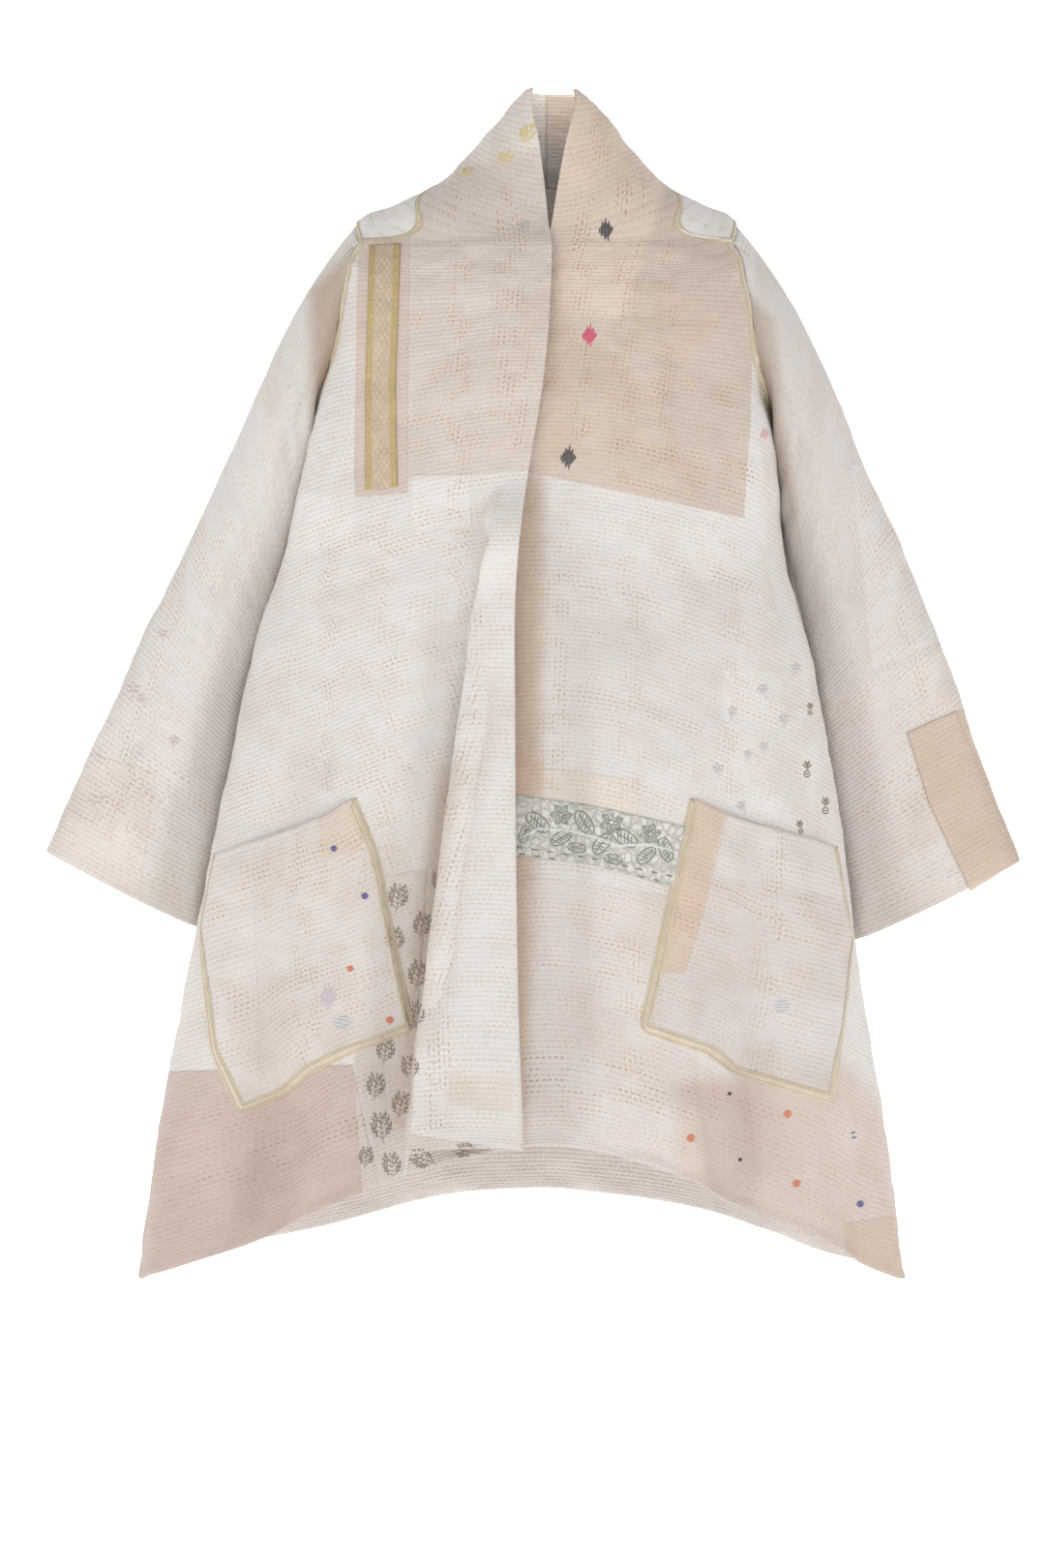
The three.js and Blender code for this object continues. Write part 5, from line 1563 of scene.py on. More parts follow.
@dataclass(frozen=True)
class Bounds:
    """The four lines that bound a piece on the front view, as corners from the left or from the top."""

    top: Outline
    bottom: Outline
    left: Outline
    right: Outline

    def places(self, rows: int, columns: int) -> Array:
        """Places on the front view between the lines, rows by columns by two."""
        s, t = np.linspace(0, 1, columns), np.linspace(0, 1, rows)
        a, b = walk(self.top, s)[None], walk(self.bottom, s)[None]
        c, d = walk(self.left, t)[:, None], walk(self.right, t)[:, None]
        s, t = s[None, :, None], t[:, None, None]
        upper = a[:, :1] * (1 - s) + a[:, -1:] * s
        lower = b[:, :1] * (1 - s) + b[:, -1:] * s
        return (a - upper) * (1 - t) + (b - lower) * t + c * (1 - s) + d * s


def cloth_measure(points: Array, centred: bool = False) -> Array:
    """Places on the cloth for a grid's points, by the lengths of its middle row and column."""
    rows, columns = points.shape[:2]
    u, v = lengths_along(points[rows // 2]), lengths_along(points[:, columns // 2])
    if centred:
        u = u - u[-1] / 2
    return np.stack(np.broadcast_arrays(u[None, :], -v[:, None]), axis=-1)


def laid_grid(
    surfaces: Surfaces, places: Array, smoothing: int, lift: Array | float, centred: bool = False
) -> Grid:
    """A grid laid on the jacket as seen from the front.

    Args:
        surfaces: what it lies on.
        places: its places on the front view.
        smoothing: how much its points are evened out.
        lift: how far it stands off, in millimetres.
        centred: whether its measure across runs from its middle.

    Returns:
        The grid.
    """
    points = soften(fill_gaps(surfaces.from_front(places[..., 0], places[..., 1]), places), smoothing)
    keep = np.ones((points.shape[0] - 1, points.shape[1] - 1), dtype=bool)
    grid = Grid(points, cloth_measure(points, centred), keep, -1)
    grid.points = points + grid.normals() * np.broadcast_to(lift, points.shape[:2])[..., None]
    return grid


def grid_piece(
    name: str, grid: Grid, inner: float, outer: float, surfaces: Surfaces | None = None
) -> bpy.types.Object:
    """Makes a grid's shell, and lets later pieces lie on it where surfaces are given."""
    points, quads, uv, count = shell(grid, inner, outer)
    if surfaces is not None:
        surfaces.add(name, points, quads[:count])
    return make_mesh(name, points, quads, uv)


@dataclass
class PatchPocket:
    """A patch pocket, set on a slant and taped round three sides."""

    side: Side
    bounds: Bounds
    wall: float = 1.5
    bulge: float = 5.0
    rows: int = 110
    columns: int = 90
    laid: Array | None = None

    @property
    def word(self) -> str:
        """The side's name."""
        return self.side.name.lower()

    def build(self, surfaces: Surfaces, dyer: Dyer) -> None:
        """Makes the pocket's cloth."""
        places = self.bounds.places(self.rows, self.columns)
        s = np.linspace(0, 1, self.columns)[None, :]
        t = np.linspace(0, 1, self.rows)[:, None]
        sag = self.bulge * (4 * s * (1 - s)) ** 0.7 * smooth(1.25 - t) * smooth(t * 3 + 0.55)
        dents = 0.8 * soft_noise(s * 7 + 0 * t, t * 9 + 0 * s, 91 + self.side.value)
        grid = laid_grid(surfaces.on(f"{self.word}_front"), places, 10, 1.0 + sag + dents * smooth(sag))
        self.laid = grid.points
        piece = grid_piece(f"{self.word}_pocket", grid, 0.0, self.wall, surfaces)
        panel = Panel.RIGHT_POCKET if self.side is Side.RIGHT else Panel.LEFT_POCKET
        dyer.paint(piece, panel)
        cloth = QuiltedCotton(f"{panel.value} quilted cotton", PATCHES[panel]).build()
        dress(piece, cloth, f"pocket_{self.word}")

    def taped_edge(self) -> Array:
        """The edge that is taped: down the inner side, along the bottom and up the outer side."""
        laid = self.laid if self.side is Side.RIGHT else self.laid[:, ::-1]
        return np.concatenate([laid[:, -1], laid[-1, -2::-1], laid[-2::-1, 0]])


@dataclass
class TapeRun:
    """A run of cotton tape laid along a line: its name, the solid it stands for and its width."""

    name: str
    node: str
    width: float = 8.0
    thick: float = 0.35
    across: int = 7

    def finish(self, points: Array, tape: bpy.types.Material) -> None:
        """Makes the tape from rows of points across it.

        Args:
            points: rows along the tape, each from one edge to the other.
            tape: its material.
        """
        v = lengths_along(points[:, self.across // 2])
        u = np.linspace(-self.width / 2, self.width / 2, self.across)
        keep = np.ones((len(points) - 1, self.across - 1), dtype=bool)
        grid = Grid(points, np.stack(np.broadcast_arrays(u[None, :], v[:, None]), axis=-1), keep, 1)
        normal = grid.normals()
        away = points - np.array([0.0, 20.0, 0.0])
        away[..., 2] *= 0.1
        if (normal * away).sum() < 0:
            grid.outward = -1
        crown = 0.12 * bump(np.linspace(-1.15, 1.15, self.across)) + 0.2
        waver = 0.15 * soft_noise(v / 9, v * 0 + self.width, 5)
        grid.points = grid.points + grid.normals() * (crown[None, :] + waver[:, None])[..., None]
        dress(grid_piece(self.name, grid, -0.2, self.thick), tape, self.node)

    def on_edge(self, line: Array, surfaces: Surfaces, tape: bpy.types.Material) -> None:
        """Lays the tape centred on an edge, mitred at its corners."""
        lengths = lengths_along(line)
        steps = np.linspace(0, lengths[-1], int(lengths[-1] / 2.2))
        middle = np.stack([np.interp(steps, lengths, line[:, axis]) for axis in range(3)], axis=1)
        normal = surfaces.nearest(middle, 1)
        for _ in range(8):
            normal[1:-1] = normal[1:-1] * 0.5 + (normal[:-2] + normal[2:]) * 0.25
        across = np.cross(normal, np.gradient(middle, axis=0))
        across /= np.linalg.norm(across, axis=1, keepdims=True)
        turned = np.linalg.norm(across[:, [0, 2]], axis=1)
        across *= np.minimum(1.0 / turned, WIDEST_TAPE)[:, None]
        reach = np.linspace(-self.width / 2, self.width / 2, self.across)
        points = middle[:, None] + across[:, None] * reach[None, :, None]
        self.finish(soften(surfaces.under(points, normal), 4), tape)

    def on_seam(self, points: Array, surfaces: Surfaces, tape: bpy.types.Material) -> None:
        """Lays the tape on points worked out from the form, settled on the cloth."""
        self.finish(soften(surfaces.nearest(points), 3), tape)


# Tape folded round the side lies flatter and wider there, by this much at most.
WIDEST_TAPE = 1.8
TAPE_REACH = np.linspace(-4.0, 4.0, 7)
POCKETS = (
    PatchPocket(
        Side.RIGHT,
        Bounds(
            top=px((223, 884), (278, 865), (337, 845), (364, 826)),
            bottom=px((249, 1146), (295, 1127), (323, 1103), (371, 1081), (424, 1062)),
            left=px((223, 884), (208, 960), (222, 1086), (249, 1146)),
            right=px((364, 826), (387, 883), (402, 962), (424, 1062)),
        ),
    ),
    PatchPocket(
        Side.LEFT,
        Bounds(
            top=px((717, 826), (752, 843), (864, 876)),
            bottom=px((665, 1062), (733, 1085), (760, 1105), (858, 1135)),
            left=px((717, 826), (700, 900), (683, 980), (665, 1062)),
            right=px((862, 876), (880, 970), (870, 1060), (857, 1135)),
        ),
    ),
)


@dataclass
class Tapes:
    """All the tape: on the pockets, over the seams of the body and under the sleeves."""

    form: BodyForm
    surfaces: Surfaces
    tape: bpy.types.Material

    def pocket_tapes(self) -> None:
        """Tape down each pocket's inner side, along its bottom and up its outer side."""
        for pocket in POCKETS:
            cloth = self.surfaces.on(f"{pocket.word}_front", f"{pocket.word}_pocket")
            run = TapeRun(f"{pocket.word}_pocket_tape", f"pocket_tape_{pocket.word}", across=8)
            run.on_edge(pocket.taped_edge(), cloth, self.tape)

    def seam_tapes(self) -> None:
        """Tape over the shoulder, neck, collar, armhole and sleeve seams."""
        form, surfaces = self.form, self.surfaces
        pattern = Pattern(form)
        reach = TAPE_REACH
        for side in Side:
            word, sign = side.name.lower(), side.value
            rows = np.linspace(SHOULDER_TIP + 0.05, NECK, 60)
            seam = [form.ring(row)["arm_front"] + reach / form.length(row, sign) for row in rows]
            points = np.array([form.points(row, sign * share, 1.0) for row, share in zip(rows, seam)])
            TapeRun(f"{word}_shoulder_tape", f"shoulder_tape_{word}").on_seam(points, surfaces, self.tape)
            turn = np.linspace(0, 1, 260)
            points = np.stack([pattern.armhole(sign, turn, inset, 1.0) for inset in reach + 4.2], axis=1)
            TapeRun(f"{word}_armhole_tape", f"armhole_tape_{word}").on_seam(points, surfaces, self.tape)
            place, width = np.meshgrid(np.linspace(0.5, 5.98, 200), reach / SLEEVE_GIRTH, indexing="ij")
            points = pattern.sleeve_points(sign, place, width)
            TapeRun(f"{word}_sleeve_tape", f"sleeve_tape_{word}").on_seam(points, surfaces, self.tape)
        start = RINGS[NECK].arm_front
        around = np.linspace(-1, 1, 240)
        share = np.where(
            around < 0, -(start + (2 - start) * (1 + around)), start + (2 - start) * (1 - around)
        )
        rows = NECK + reach / NECK_STEP
        points = np.stack([form.points(row, share, 1.0) for row in rows], axis=1)
        TapeRun("back_neck_tape", "neck_tape").on_seam(points, surfaces, self.tape)
        rows = np.linspace(NECK + 0.12, COLLAR_TOP - 0.01, 60)
        middle = np.where(reach < 0, -2, 2)
        quarters = [np.where(reach < 0, form.length(row, -1), form.length(row, 1)) for row in rows]
        points = np.array([form.points(r, middle - reach / q, 1.0) for r, q in zip(rows, quarters)])
        TapeRun("collar_seam_tape", "collar_tape").on_seam(points, surfaces, self.tape)


@dataclass
class Applique:
    """A thin woven piece sewn on the cloth, as its four bounding lines on the front view."""

    name: str
    node: str
    slot: str
    bounds: Bounds
    rows: int
    columns: int
    cloth: str

    def build(self, surfaces: Surfaces, material: bpy.types.Material) -> bpy.types.Object:
        """Lays the piece on the cloth."""
        places = self.bounds.places(self.rows, self.columns)
        grid = laid_grid(surfaces.on(self.cloth), places, 1, 0.5, centred=True)
        piece = grid_piece(self.name, grid, 0.0, 0.5, surfaces)
        dress(piece, material, self.node)
        return piece


GOLD_BORDER = Applique(
    "gold_border_band", "gold_border", "gold_brocade",
    Bounds(
        top=px((382, 254), (414, 252)), bottom=px((378, 507), (411, 503)),
        left=px((382, 254), (378, 400), (378, 507)), right=px((414, 252), (409, 400), (411, 503)),
    ),
    rows=120, columns=20, cloth="right_front",
)
SILVER_BORDER = Applique(
    "silver_border_band", "silver_border", "silver_brocade",
    Bounds(
        top=px((530, 821), (610, 832), (708, 854)), bottom=px((530, 884), (610, 893), (697, 917)),
        left=px((530, 821), (530, 884)), right=px((708, 854), (704, 880), (697, 917)),
    ),
    rows=34, columns=90, cloth="left_front",
)
CUFF_PATCH = Applique(
    "cuff_patch_cloth", "cuff_patch", "beige_cotton",
    Bounds(
        top=px((937, 757), (988, 735)), bottom=px((1002, 920), (1052, 890)),
        left=px((937, 757), (960, 830), (1002, 920)), right=px((987, 735), (1013, 800), (1052, 890)),
    ),
    rows=80, columns=28, cloth="left_sleeve",
)


@dataclass(frozen=True)
class Stroke:
    """A stitch, leaf or line: its path from the motif's middle in millimetres, and its width."""

    path: Outline
    width: float
    leaf: bool = False


class Motif(Enum):
    """The small motifs worked, woven or printed on the old cloth."""

    BUTA = "woven diamond"
    DOT = "small oval of stitches"
    FLAME = "slanting stitches"
    SPRIG = "sprig over a ring"
    FLOWER = "pale flower"
    TREE = "branch with small leaves"
    BIG_LEAF = "hatched leaf"
    BIG_FLOWER = "hatched flower"

    def strokes(self) -> list[Stroke]:
        """The motif's strokes, drawn upright about its middle."""
        return getattr(self, "_" + self.name.lower())()

    def _buta(self) -> list[Stroke]:
        """Upright bars of stitches with a few that cross them."""
        bars = (
            (-6.0, -3, 2), (-4.4, -6, 4.5), (-2.9, -4.5, 8.5), (-1.4, -9, 7), (0.1, -7.5, 11),
            (1.6, -10.5, 6.5), (3.1, -6, 8), (4.6, -4, 4), (6.1, -1.5, 2.5),
        )
        crossing = (
            ((-5, -2.4), (-1, -1.2)), ((1, 2.6), (5, 1.2)), ((-2.5, 4.4), (2.5, 5.2)), ((-3, -5.2), (2, -4))
        )
        upright = [Stroke(((x, low), (x + 0.4, high)), 1.25) for x, low, high in bars]
        return upright + [Stroke(line, 0.9) for line in crossing]

    def _dot(self) -> list[Stroke]:
        """Four short stitches, one over the other."""
        return [
            Stroke(((-w, y), (w, y + 0.4)), 1.3)
            for w, y in ((2.0, 2.0), (3.2, 0.7), (3.1, -0.7), (2.1, -2.0))
        ]

    def _flame(self) -> list[Stroke]:
        """Slanting stitches over a curved one."""
        slants = ((-9, -4, -4, 5), (-6, -5, -1, 6), (-2, -5, 2, 7), (2, -4, 6, 5), (6, -2, 9, 5))
        flames = [Stroke(((x0, y0), (x1, y1)), 1.7, True) for x0, y0, x1, y1 in slants]
        return flames + [Stroke(((-9, -6), (0, -7), (7, -4)), 1.2)]

    def _sprig(self) -> list[Stroke]:
        """Five leaves over a ring."""
        ring = tuple((2.6 * math.cos(a), -4 + 2.9 * math.sin(a)) for a in np.linspace(0, 2 * math.pi, 11))
        tips = (
            ((0, -1), (0, 7)), ((-1, 1), (-3.6, 5)), ((1, 1), (3.6, 5)), ((-1, 4), (-2, 8)), ((1, 4), (2, 8))
        )
        return [Stroke(ring, 1.0), Stroke(((-1.4, -4), (1.4, -4)), 1.4)] + [
            Stroke(tip, 1.5, True) for tip in tips
        ]

    def _flower(self) -> list[Stroke]:
        """Five petals on a short stem."""
        angles = np.linspace(0.3, 2 * math.pi + 0.3, 6)[:-1]
        petals = [
            ((0.8 * math.cos(a), 0.8 * math.sin(a)), (5.2 * math.cos(a), 4.6 * math.sin(a))) for a in angles
        ]
        return [Stroke(petal, 3.6, True) for petal in petals] + [Stroke(((0, -4), (-2, -9)), 1.2)]

    def _tree(self) -> list[Stroke]:
        """A stem with pairs of branches and small leaves along them."""
        strokes = [Stroke(((0, -14), (0.6, -5), (0, 3), (0.3, 11)), 0.55)]
        tips = [((0.3, y), (sign, 1.2)) for y, sign in ((-1, -1), (2, 1), (5, -1), (8, 1), (11, 0))]
        for y, reach in ((-9.5, 7.5), (-5.5, 8.0), (-1.0, 6.5), (3.5, 4.5)):
            for sign in (-1, 1):
                branch = np.array([(0.2, y), (sign * reach * 0.6, y + 3.2), (sign * reach, y + 8.0)])
                strokes.append(Stroke(tuple(map(tuple, branch)), 0.5))
                for share, way in ((0.4, 1), (0.55, -1), (0.75, 1), (0.88, -1), (1.0, 0)):
                    ahead = branch[2] - branch[1] if share > 0.5 else branch[1] - branch[0]
                    ahead = ahead / np.linalg.norm(ahead)
                    lean = ahead + way * 0.9 * np.array([-ahead[1], ahead[0]])
                    tips.append((tuple(walk(branch, np.array([share]))[0]), tuple(lean)))
        for start, lean in tips:
            lean = np.array(lean) / np.linalg.norm(lean) * 2.9
            strokes.append(Stroke((start, tuple(np.array(start) + lean)), 1.35, True))
        return strokes

    def _big_leaf(self) -> list[Stroke]:
        """A leaf's outline, hatched across its midrib."""
        t = np.linspace(0, math.pi, 9)
        edge = [(5.2 * math.sin(a) ** 0.8, -10 * math.cos(a)) for a in t]
        sides = [tuple((sign * x, y) for x, y in edge) for sign in (-1, 1)]
        hatch = [((-3.6, y - 2), (3.6, y + 2)) for y in (-5.5, -2.5, 0.5, 3.5, 6)]
        hatching = [Stroke(line, 0.7) for line in hatch]
        return [Stroke(side, 1.0) for side in sides] + hatching + [Stroke(((0, -10), (0, 8)), 0.8)]

    def _big_flower(self) -> list[Stroke]:
        """Six looped petals round a ring."""
        angles = np.linspace(0, 2 * math.pi, 7)[:-1]
        strokes = []
        for a in angles:
            out = np.array([math.cos(a), math.sin(a)])
            side = np.array([-out[1], out[0]])
            loop = [out * 2.5, out * 6 + side * 2.8, out * 10, out * 6 - side * 2.8, out * 2.5]
            strokes.append(Stroke(tuple(map(tuple, loop)), 0.9))
            strokes.append(Stroke((tuple(out * 4), tuple(out * 8.5)), 0.8))
        ring = tuple((2.2 * math.cos(a), 2.2 * math.sin(a)) for a in np.linspace(0, 2 * math.pi, 9))
        return strokes + [Stroke(ring, 0.9)]


@dataclass(frozen=True)
class Worked:
    """A motif's thread and, for each of its places, the middle in photo steps, scale and tilt."""

    motif: Motif
    thread: str
    places: tuple[tuple[float, float, float, float], ...]
    cloth: tuple[str, ...] = ()


THREAD_COLOURS = {
    "black": "#5B5858",
    "pink": "#D65F77",
    "faint blue": "#BCC3C9",
    "pale pink": "#DDB9BC",
    "yellow": "#DCC877",
    "purple": "#6F6A9C",
    "orange": "#D98567",
    "mauve": "#D3C6CC",
    "pale blue": "#C3C8CD",
    "grey": "#D3CECC",
    "old gold": "#8E806A",
    "faint rose": "#DDCFCA",
    "tree grey": "#9C8C7E",
    "silver grey": "#8B9088",
    "silver light": "#DCDCD7",
}
SILVER_CLOTH = ("silver_border_band",)
WORKED = (
    Worked(Motif.BUTA, "black", ((626, 238, 0.95, 4), (587, 473, 1.0, -6))),
    Worked(Motif.BUTA, "pink", ((609, 347, 0.95, -4),)),
    Worked(Motif.FLAME, "faint blue", ((542, 233, 0.6, 10),)),
    Worked(Motif.BUTA, "pale pink", ((790, 449, 0.55, 10),)),
    Worked(Motif.FLAME, "yellow", ((545, 136, 1.0, 30), (523, 162, 0.8, -20), (483, 177, 0.6, 0))),
    Worked(Motif.DOT, "purple", (
        (345, 877, 1.0, -16), (377, 926, 1.1, -16), (876, 1098, 1.0, 8), (882, 1173, 1.1, 8), (
            889, 1244, 1.1, 8
        ),
    )),
    Worked(Motif.DOT, "orange", (
        (362, 1001, 1.0, -16), (403, 1054, 1.2, -16), (714, 1176, 1.3, 10), (814, 1151, 1.3, 10),
        (823, 1223, 1.3, 10), (490, 717, 0.7, 40),
    )),
    Worked(Motif.DOT, "black", ((754, 1130, 0.6, 0), (765, 1198, 0.6, 0))),
    Worked(Motif.BUTA, "mauve", ((339, 1030, 1.1, 0),)),
    Worked(Motif.DOT, "pale blue", ((354, 1057, 2.4, -16), (808, 1040, 2.2, 0), (880, 985, 1.6, 0))),
    Worked(Motif.FLOWER, "grey", (
        (757, 735, 0.9, 0), (788, 712, 1.0, 30), (810, 743, 1.0, 10), (789, 771, 0.9, 20), (
            773, 779, 0.8, 0
        ),
        (742, 794, 1.0, 15), (766, 832, 0.9, 40), (822, 690, 0.9, 0),
    )),
    Worked(Motif.SPRIG, "old gold", (
        (837, 733, 0.75, 0), (834, 795, 1.0, 0), (853, 833, 1.0, 0), (827, 855, 0.8, 10),
    )),
    Worked(Motif.FLOWER, "faint rose", (
        (138, 712, 1.4, 0), (146, 722, 1.0, 40), (98, 828, 1.5, 20), (168, 655, 1.0, 10), (180, 765, 1.0, 0),
    )),
    Worked(Motif.TREE, "tree grey", (
        (411, 928, 0.95, -8), (455, 912, 0.8, 12), (436, 957, 0.9, -12), (408, 972, 0.9, 6), (
            432, 1008, 1.0, -10
        ),
        (428, 1050, 1.0, 8), (398, 1086, 0.9, -8), (424, 1104, 0.85, 14), (388, 1123, 0.9, -6), (
            394, 1165, 1.0, 6
        ),
        (414, 1142, 0.9, -12), (438, 1198, 0.9, 70), (405, 1205, 0.9, 10), (484, 1190, 0.8, 80), (
            378, 1196, 0.7, -6
        ),
    )),
    Worked(Motif.BIG_LEAF, "silver grey", (
        (556, 850, 1.2, 50), (580, 866, 1.0, -60), (604, 850, 1.2, 35), (622, 872, 1.1, -40), (
            646, 866, 1.2, 60
        ),
        (668, 884, 1.0, -50), (688, 878, 1.1, 20), (542, 862, 0.8, -20), (596, 876, 0.8, 80), (
            634, 888, 0.8, 75
        ),
    ), SILVER_CLOTH),
    Worked(Motif.BIG_FLOWER, "silver grey", ((580, 842, 1.0, 0), (632, 850, 1.1, 20), (672, 862, 1.0, 10)),
           SILVER_CLOTH),
)
SILVER_STEM = px((534, 868), (556, 856), (588, 858), (612, 864), (640, 874), (668, 872), (700, 880))
SILVER_DASHES = (px((534, 875), (612, 887), (696, 906)), px((536, 882), (612, 894), (693, 913)))


class Embroidery:
    """Threads and prints laid on the cloth, gathered into one piece for each thread."""

    crown = 0.22
    pace = 1.6

    def __init__(self, surfaces: Surfaces) -> None:
        """Starts with nothing worked."""
        self.surfaces = surfaces
        self.points: dict[str, list[Array]] = {}
        self.quads: dict[str, list[Array]] = {}

    def stroke(
        self, thread: str, path: Array, width: float, leaf: bool, cloth: tuple[str, ...] = ()
    ) -> None:
        """Lays one stroke as a low ridge of thread.

        Args:
            thread: which thread it is worked in.
            path: its line as seen from the front.
            width: its width in millimetres.
            leaf: whether it tapers to both ends.
            cloth: the pieces it may lie on, all where none is named.
        """
        length = np.linalg.norm(np.diff(path, axis=0), axis=1).sum()
        t = np.linspace(0, 1, max(4, int(length / self.pace) + 1))
        line = walk(path, t)
        tangent = np.gradient(line, axis=0)
        tangent /= np.maximum(np.linalg.norm(tangent, axis=1, keepdims=True), 1e-9)
        side = np.stack([-tangent[:, 1], tangent[:, 0]], axis=1)
        blunt = np.minimum(1, 6 * np.minimum(t, 1 - t) + 0.4)
        full = np.maximum(np.sin(math.pi * t), 0.0) ** 0.7 if leaf else blunt
        reach = np.array([-0.5, 0.0, 0.5]) * width * np.maximum(full, 0.15)[:, None]
        places = line[:, None] + side[:, None] * reach[..., None]
        points = self.surfaces.on(*cloth).from_front(places[..., 0], places[..., 1])
        if np.isnan(points).any() or np.ptp(points[..., 1]) > length + 6:
            return
        keep = np.ones((len(t) - 1, 2), dtype=bool)
        grid = Grid(points, np.zeros(points.shape[:2] + (2,)), keep, -1)
        lift = np.array([0.05, self.crown, 0.05])
        grid.points = points + grid.normals() * lift[None, :, None]
        done, quads, _, _ = shell(grid, -0.15, 0.1)
        start = sum(len(part) for part in self.points.setdefault(thread, []))
        self.points[thread].append(done)
        self.quads.setdefault(thread, []).append(quads + start)

    def work(self, worked: Worked) -> None:
        """Works a motif at each of its places."""
        for x, y, scale, tilt in worked.places:
            middle = np.array(px((x, y))[0])
            turn = math.radians(tilt)
            spin = np.array([[math.cos(turn), -math.sin(turn)], [math.sin(turn), math.cos(turn)]])
            for stroke in worked.motif.strokes():
                path = middle + np.array(stroke.path) * scale @ spin.T
                self.stroke(worked.thread, path, stroke.width * min(scale, 1.1), stroke.leaf, worked.cloth)

    def dashes(self, thread: str, line: Outline, dash: float = 6.0, gap: float = 7.5) -> None:
        """Lays a row of dashes along a line."""
        total = np.linalg.norm(np.diff(np.array(line), axis=0), axis=1).sum()
        for start in np.arange(0, total - dash, dash + gap):
            self.stroke(
                thread, walk(line, np.array([start, start + dash]) / total), 1.5, False, SILVER_CLOTH
            )

    def build(self) -> None:
        """Makes one piece for each thread."""
        for thread, parts in self.points.items():
            name = thread.replace(" ", "_") + "_motifs"
            piece = make_mesh(name, np.concatenate(parts), np.concatenate(self.quads[thread]))
            dress(piece, Thread(thread + " thread", THREAD_COLOURS[thread]).build())
            log.info("%s: %d faces", name, len(piece.data.polygons))


@dataclass
class Studio:
    """A white sweep, two soft lights and the camera at the photograph's angle."""

    lens: float = 103.4
    floor: float = -1.075

    def build(self) -> None:
        """Makes the sweep, the lights, the sky and the camera."""
        self.sweep()
        self.lamp("left softbox", (-2.5, -2.1, 0.6), 1.8, 22)
        self.lamp("right softbox", (2.5, -2.1, 0.3), 1.8, 19)
        neck = self.lamp("neck light", (0.006, -0.012, 0.083), 0.024, 0.024)
        neck.rotation_euler = (math.radians(105), 0, 0)
        neck.visible_camera = False
        world = bpy.data.worlds.new("studio")
        bpy.context.scene.world = world
        world.use_nodes = True
        world.node_tree.nodes["Background"].inputs[0].default_value = (1.0, 0.995, 0.985, 1)
        world.node_tree.nodes["Background"].inputs[1].default_value = 0.55
        bpy.context.scene.view_settings.view_transform = "Standard"
        camera = bpy.data.cameras.new("camera")
        camera.lens = self.lens
        camera.clip_end = 50
        placed = bpy.data.objects.new("camera", camera)
        placed.location = EYE * MM
        placed.rotation_euler = (math.pi / 2, 0, 0)
        bpy.context.scene.collection.objects.link(placed)
        bpy.context.scene.camera = placed

    def sweep(self) -> None:
        """A floor that curves up into a wall far behind."""
        angle = np.linspace(0, np.pi / 2, 24)
        y = np.concatenate([[-14], 11 + 2 * np.sin(angle), [13]])
        z = self.floor + np.concatenate([[0], 2 - 2 * np.cos(angle), [12]])
        x = np.array([-18.0, 18.0])
        points = np.array([[a, b, c] for b, c in zip(y, z) for a in x]) / MM
        faces = np.array([[2 * i, 2 * i + 1, 2 * i + 3, 2 * i + 2] for i in range(len(y) - 1)])
        sweep = make_mesh("sweep", points, faces)
        n = Nodes("white studio paper")
        glow = {"Emission Color": (1, 1, 1, 1), "Emission Strength": 0.7}
        sweep.data.materials.append(
            n.finish(glow | {"Base Color": (0.95, 0.95, 0.95, 1), "Roughness": 0.95})
        )

    @staticmethod
    def lamp(name: str, place: tuple[float, float, float], size: float, power: float) -> bpy.types.Object:
        """A soft square light aimed at the jacket's middle."""
        light = bpy.data.lights.new(name, "AREA")
        light.size = size
        light.energy = power
        lamp = bpy.data.objects.new(name, light)
        lamp.location = place
        lamp.rotation_euler = (Vector((0, 0, -0.5)) - Vector(place)).to_track_quat("-Z", "Y").to_euler()
        bpy.context.scene.collection.objects.link(lamp)
        return lamp


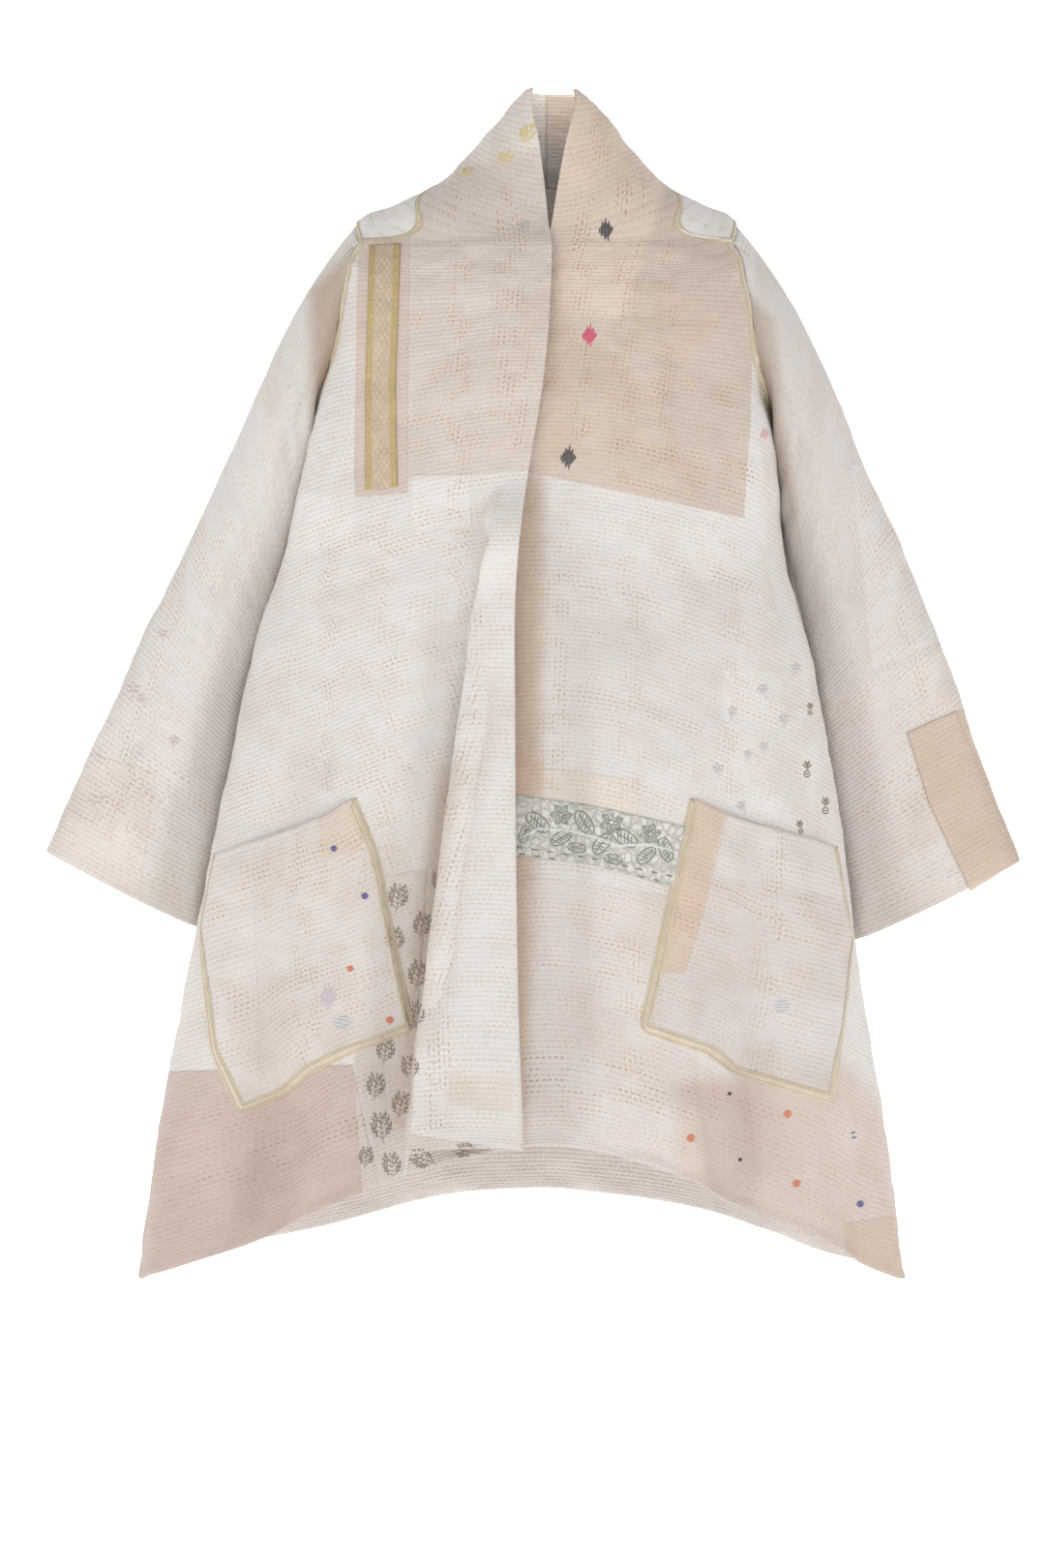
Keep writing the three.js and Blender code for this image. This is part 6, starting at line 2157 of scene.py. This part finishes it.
LIES_ON = {
    "right_front": ("hung", ("back_panel", "left_front")),
    "left_front": ("hung", ("back_panel",)),
    "back_panel": ("hung", ("right_front", "left_front")),
    "right_sleeve": ("hung", ("right_front", "back_panel")),
    "left_sleeve": ("hung", ("left_front", "back_panel")),
    "right_pocket": ("laid", ("right_front",)),
    "left_pocket": ("laid", ("left_front",)),
    "gold_border_band": ("laid", ("right_front",)),
    "silver_border_band": ("laid", ("left_front",)),
    "cuff_patch_cloth": ("laid", ("left_sleeve",)),
}


def state_sheets() -> None:
    """Works out each sheet's flat size by the cloth's measure and its area by one face; the results are not
    used.
    """
    for name, (held, lies_on) in LIES_ON.items():
        piece = bpy.data.objects[name]
        mesh = piece.data
        places = np.empty(len(mesh.loops) * 2)
        mesh.uv_layers["cloth"].data.foreach_get("uv", places)
        areas = np.empty(len(mesh.polygons))
        mesh.polygons.foreach_get("area", areas)
        area = float(areas.sum() / 2)
        flat = np.ptp(places.reshape(-1, 2), axis=0) * MM
        flat = flat * max(1.0, math.sqrt(area / float(flat.prod())))


def main() -> None:
    """Builds the jacket's pieces in order, then the studio."""
    logging.basicConfig(level=logging.INFO)
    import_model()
    form, surfaces, dyer = BodyForm(), Surfaces(), Dyer()
    ClothPanels(form, surfaces, dyer).build()
    gold = Brocade("gold woven border", "#CDBBA8", "#B79D5B", "#E6D7A4", chevrons=True).build()
    silver = Brocade("silver woven border", "#E0DCD5", "#AEAEA6", "#F2F1ED").build()
    GOLD_BORDER.build(surfaces, gold)
    SILVER_BORDER.build(surfaces, silver)
    cuff = Panel.CUFF_PATCH
    patch = CUFF_PATCH.build(surfaces, QuiltedCotton("beige patch cotton", PATCHES[cuff]).build())
    dyer.paint(patch, cuff)
    for pocket in POCKETS:
        pocket.build(surfaces, dyer)
    embroidery = Embroidery(surfaces)
    for worked in WORKED:
        embroidery.work(worked)
    embroidery.stroke("silver light", np.array(SILVER_STEM), 3.0, False, SILVER_CLOTH)
    embroidery.dashes("silver grey", SILVER_DASHES[0])
    embroidery.dashes("silver grey", SILVER_DASHES[1])
    embroidery.build()
    tapes = Tapes(form, surfaces, TwillTape().build())
    tapes.pocket_tapes()
    tapes.seam_tapes()
    log.info("pockets, borders and tape are on")
    state_sheets()
    Studio().build()


if __name__ == "__main__":
    main()
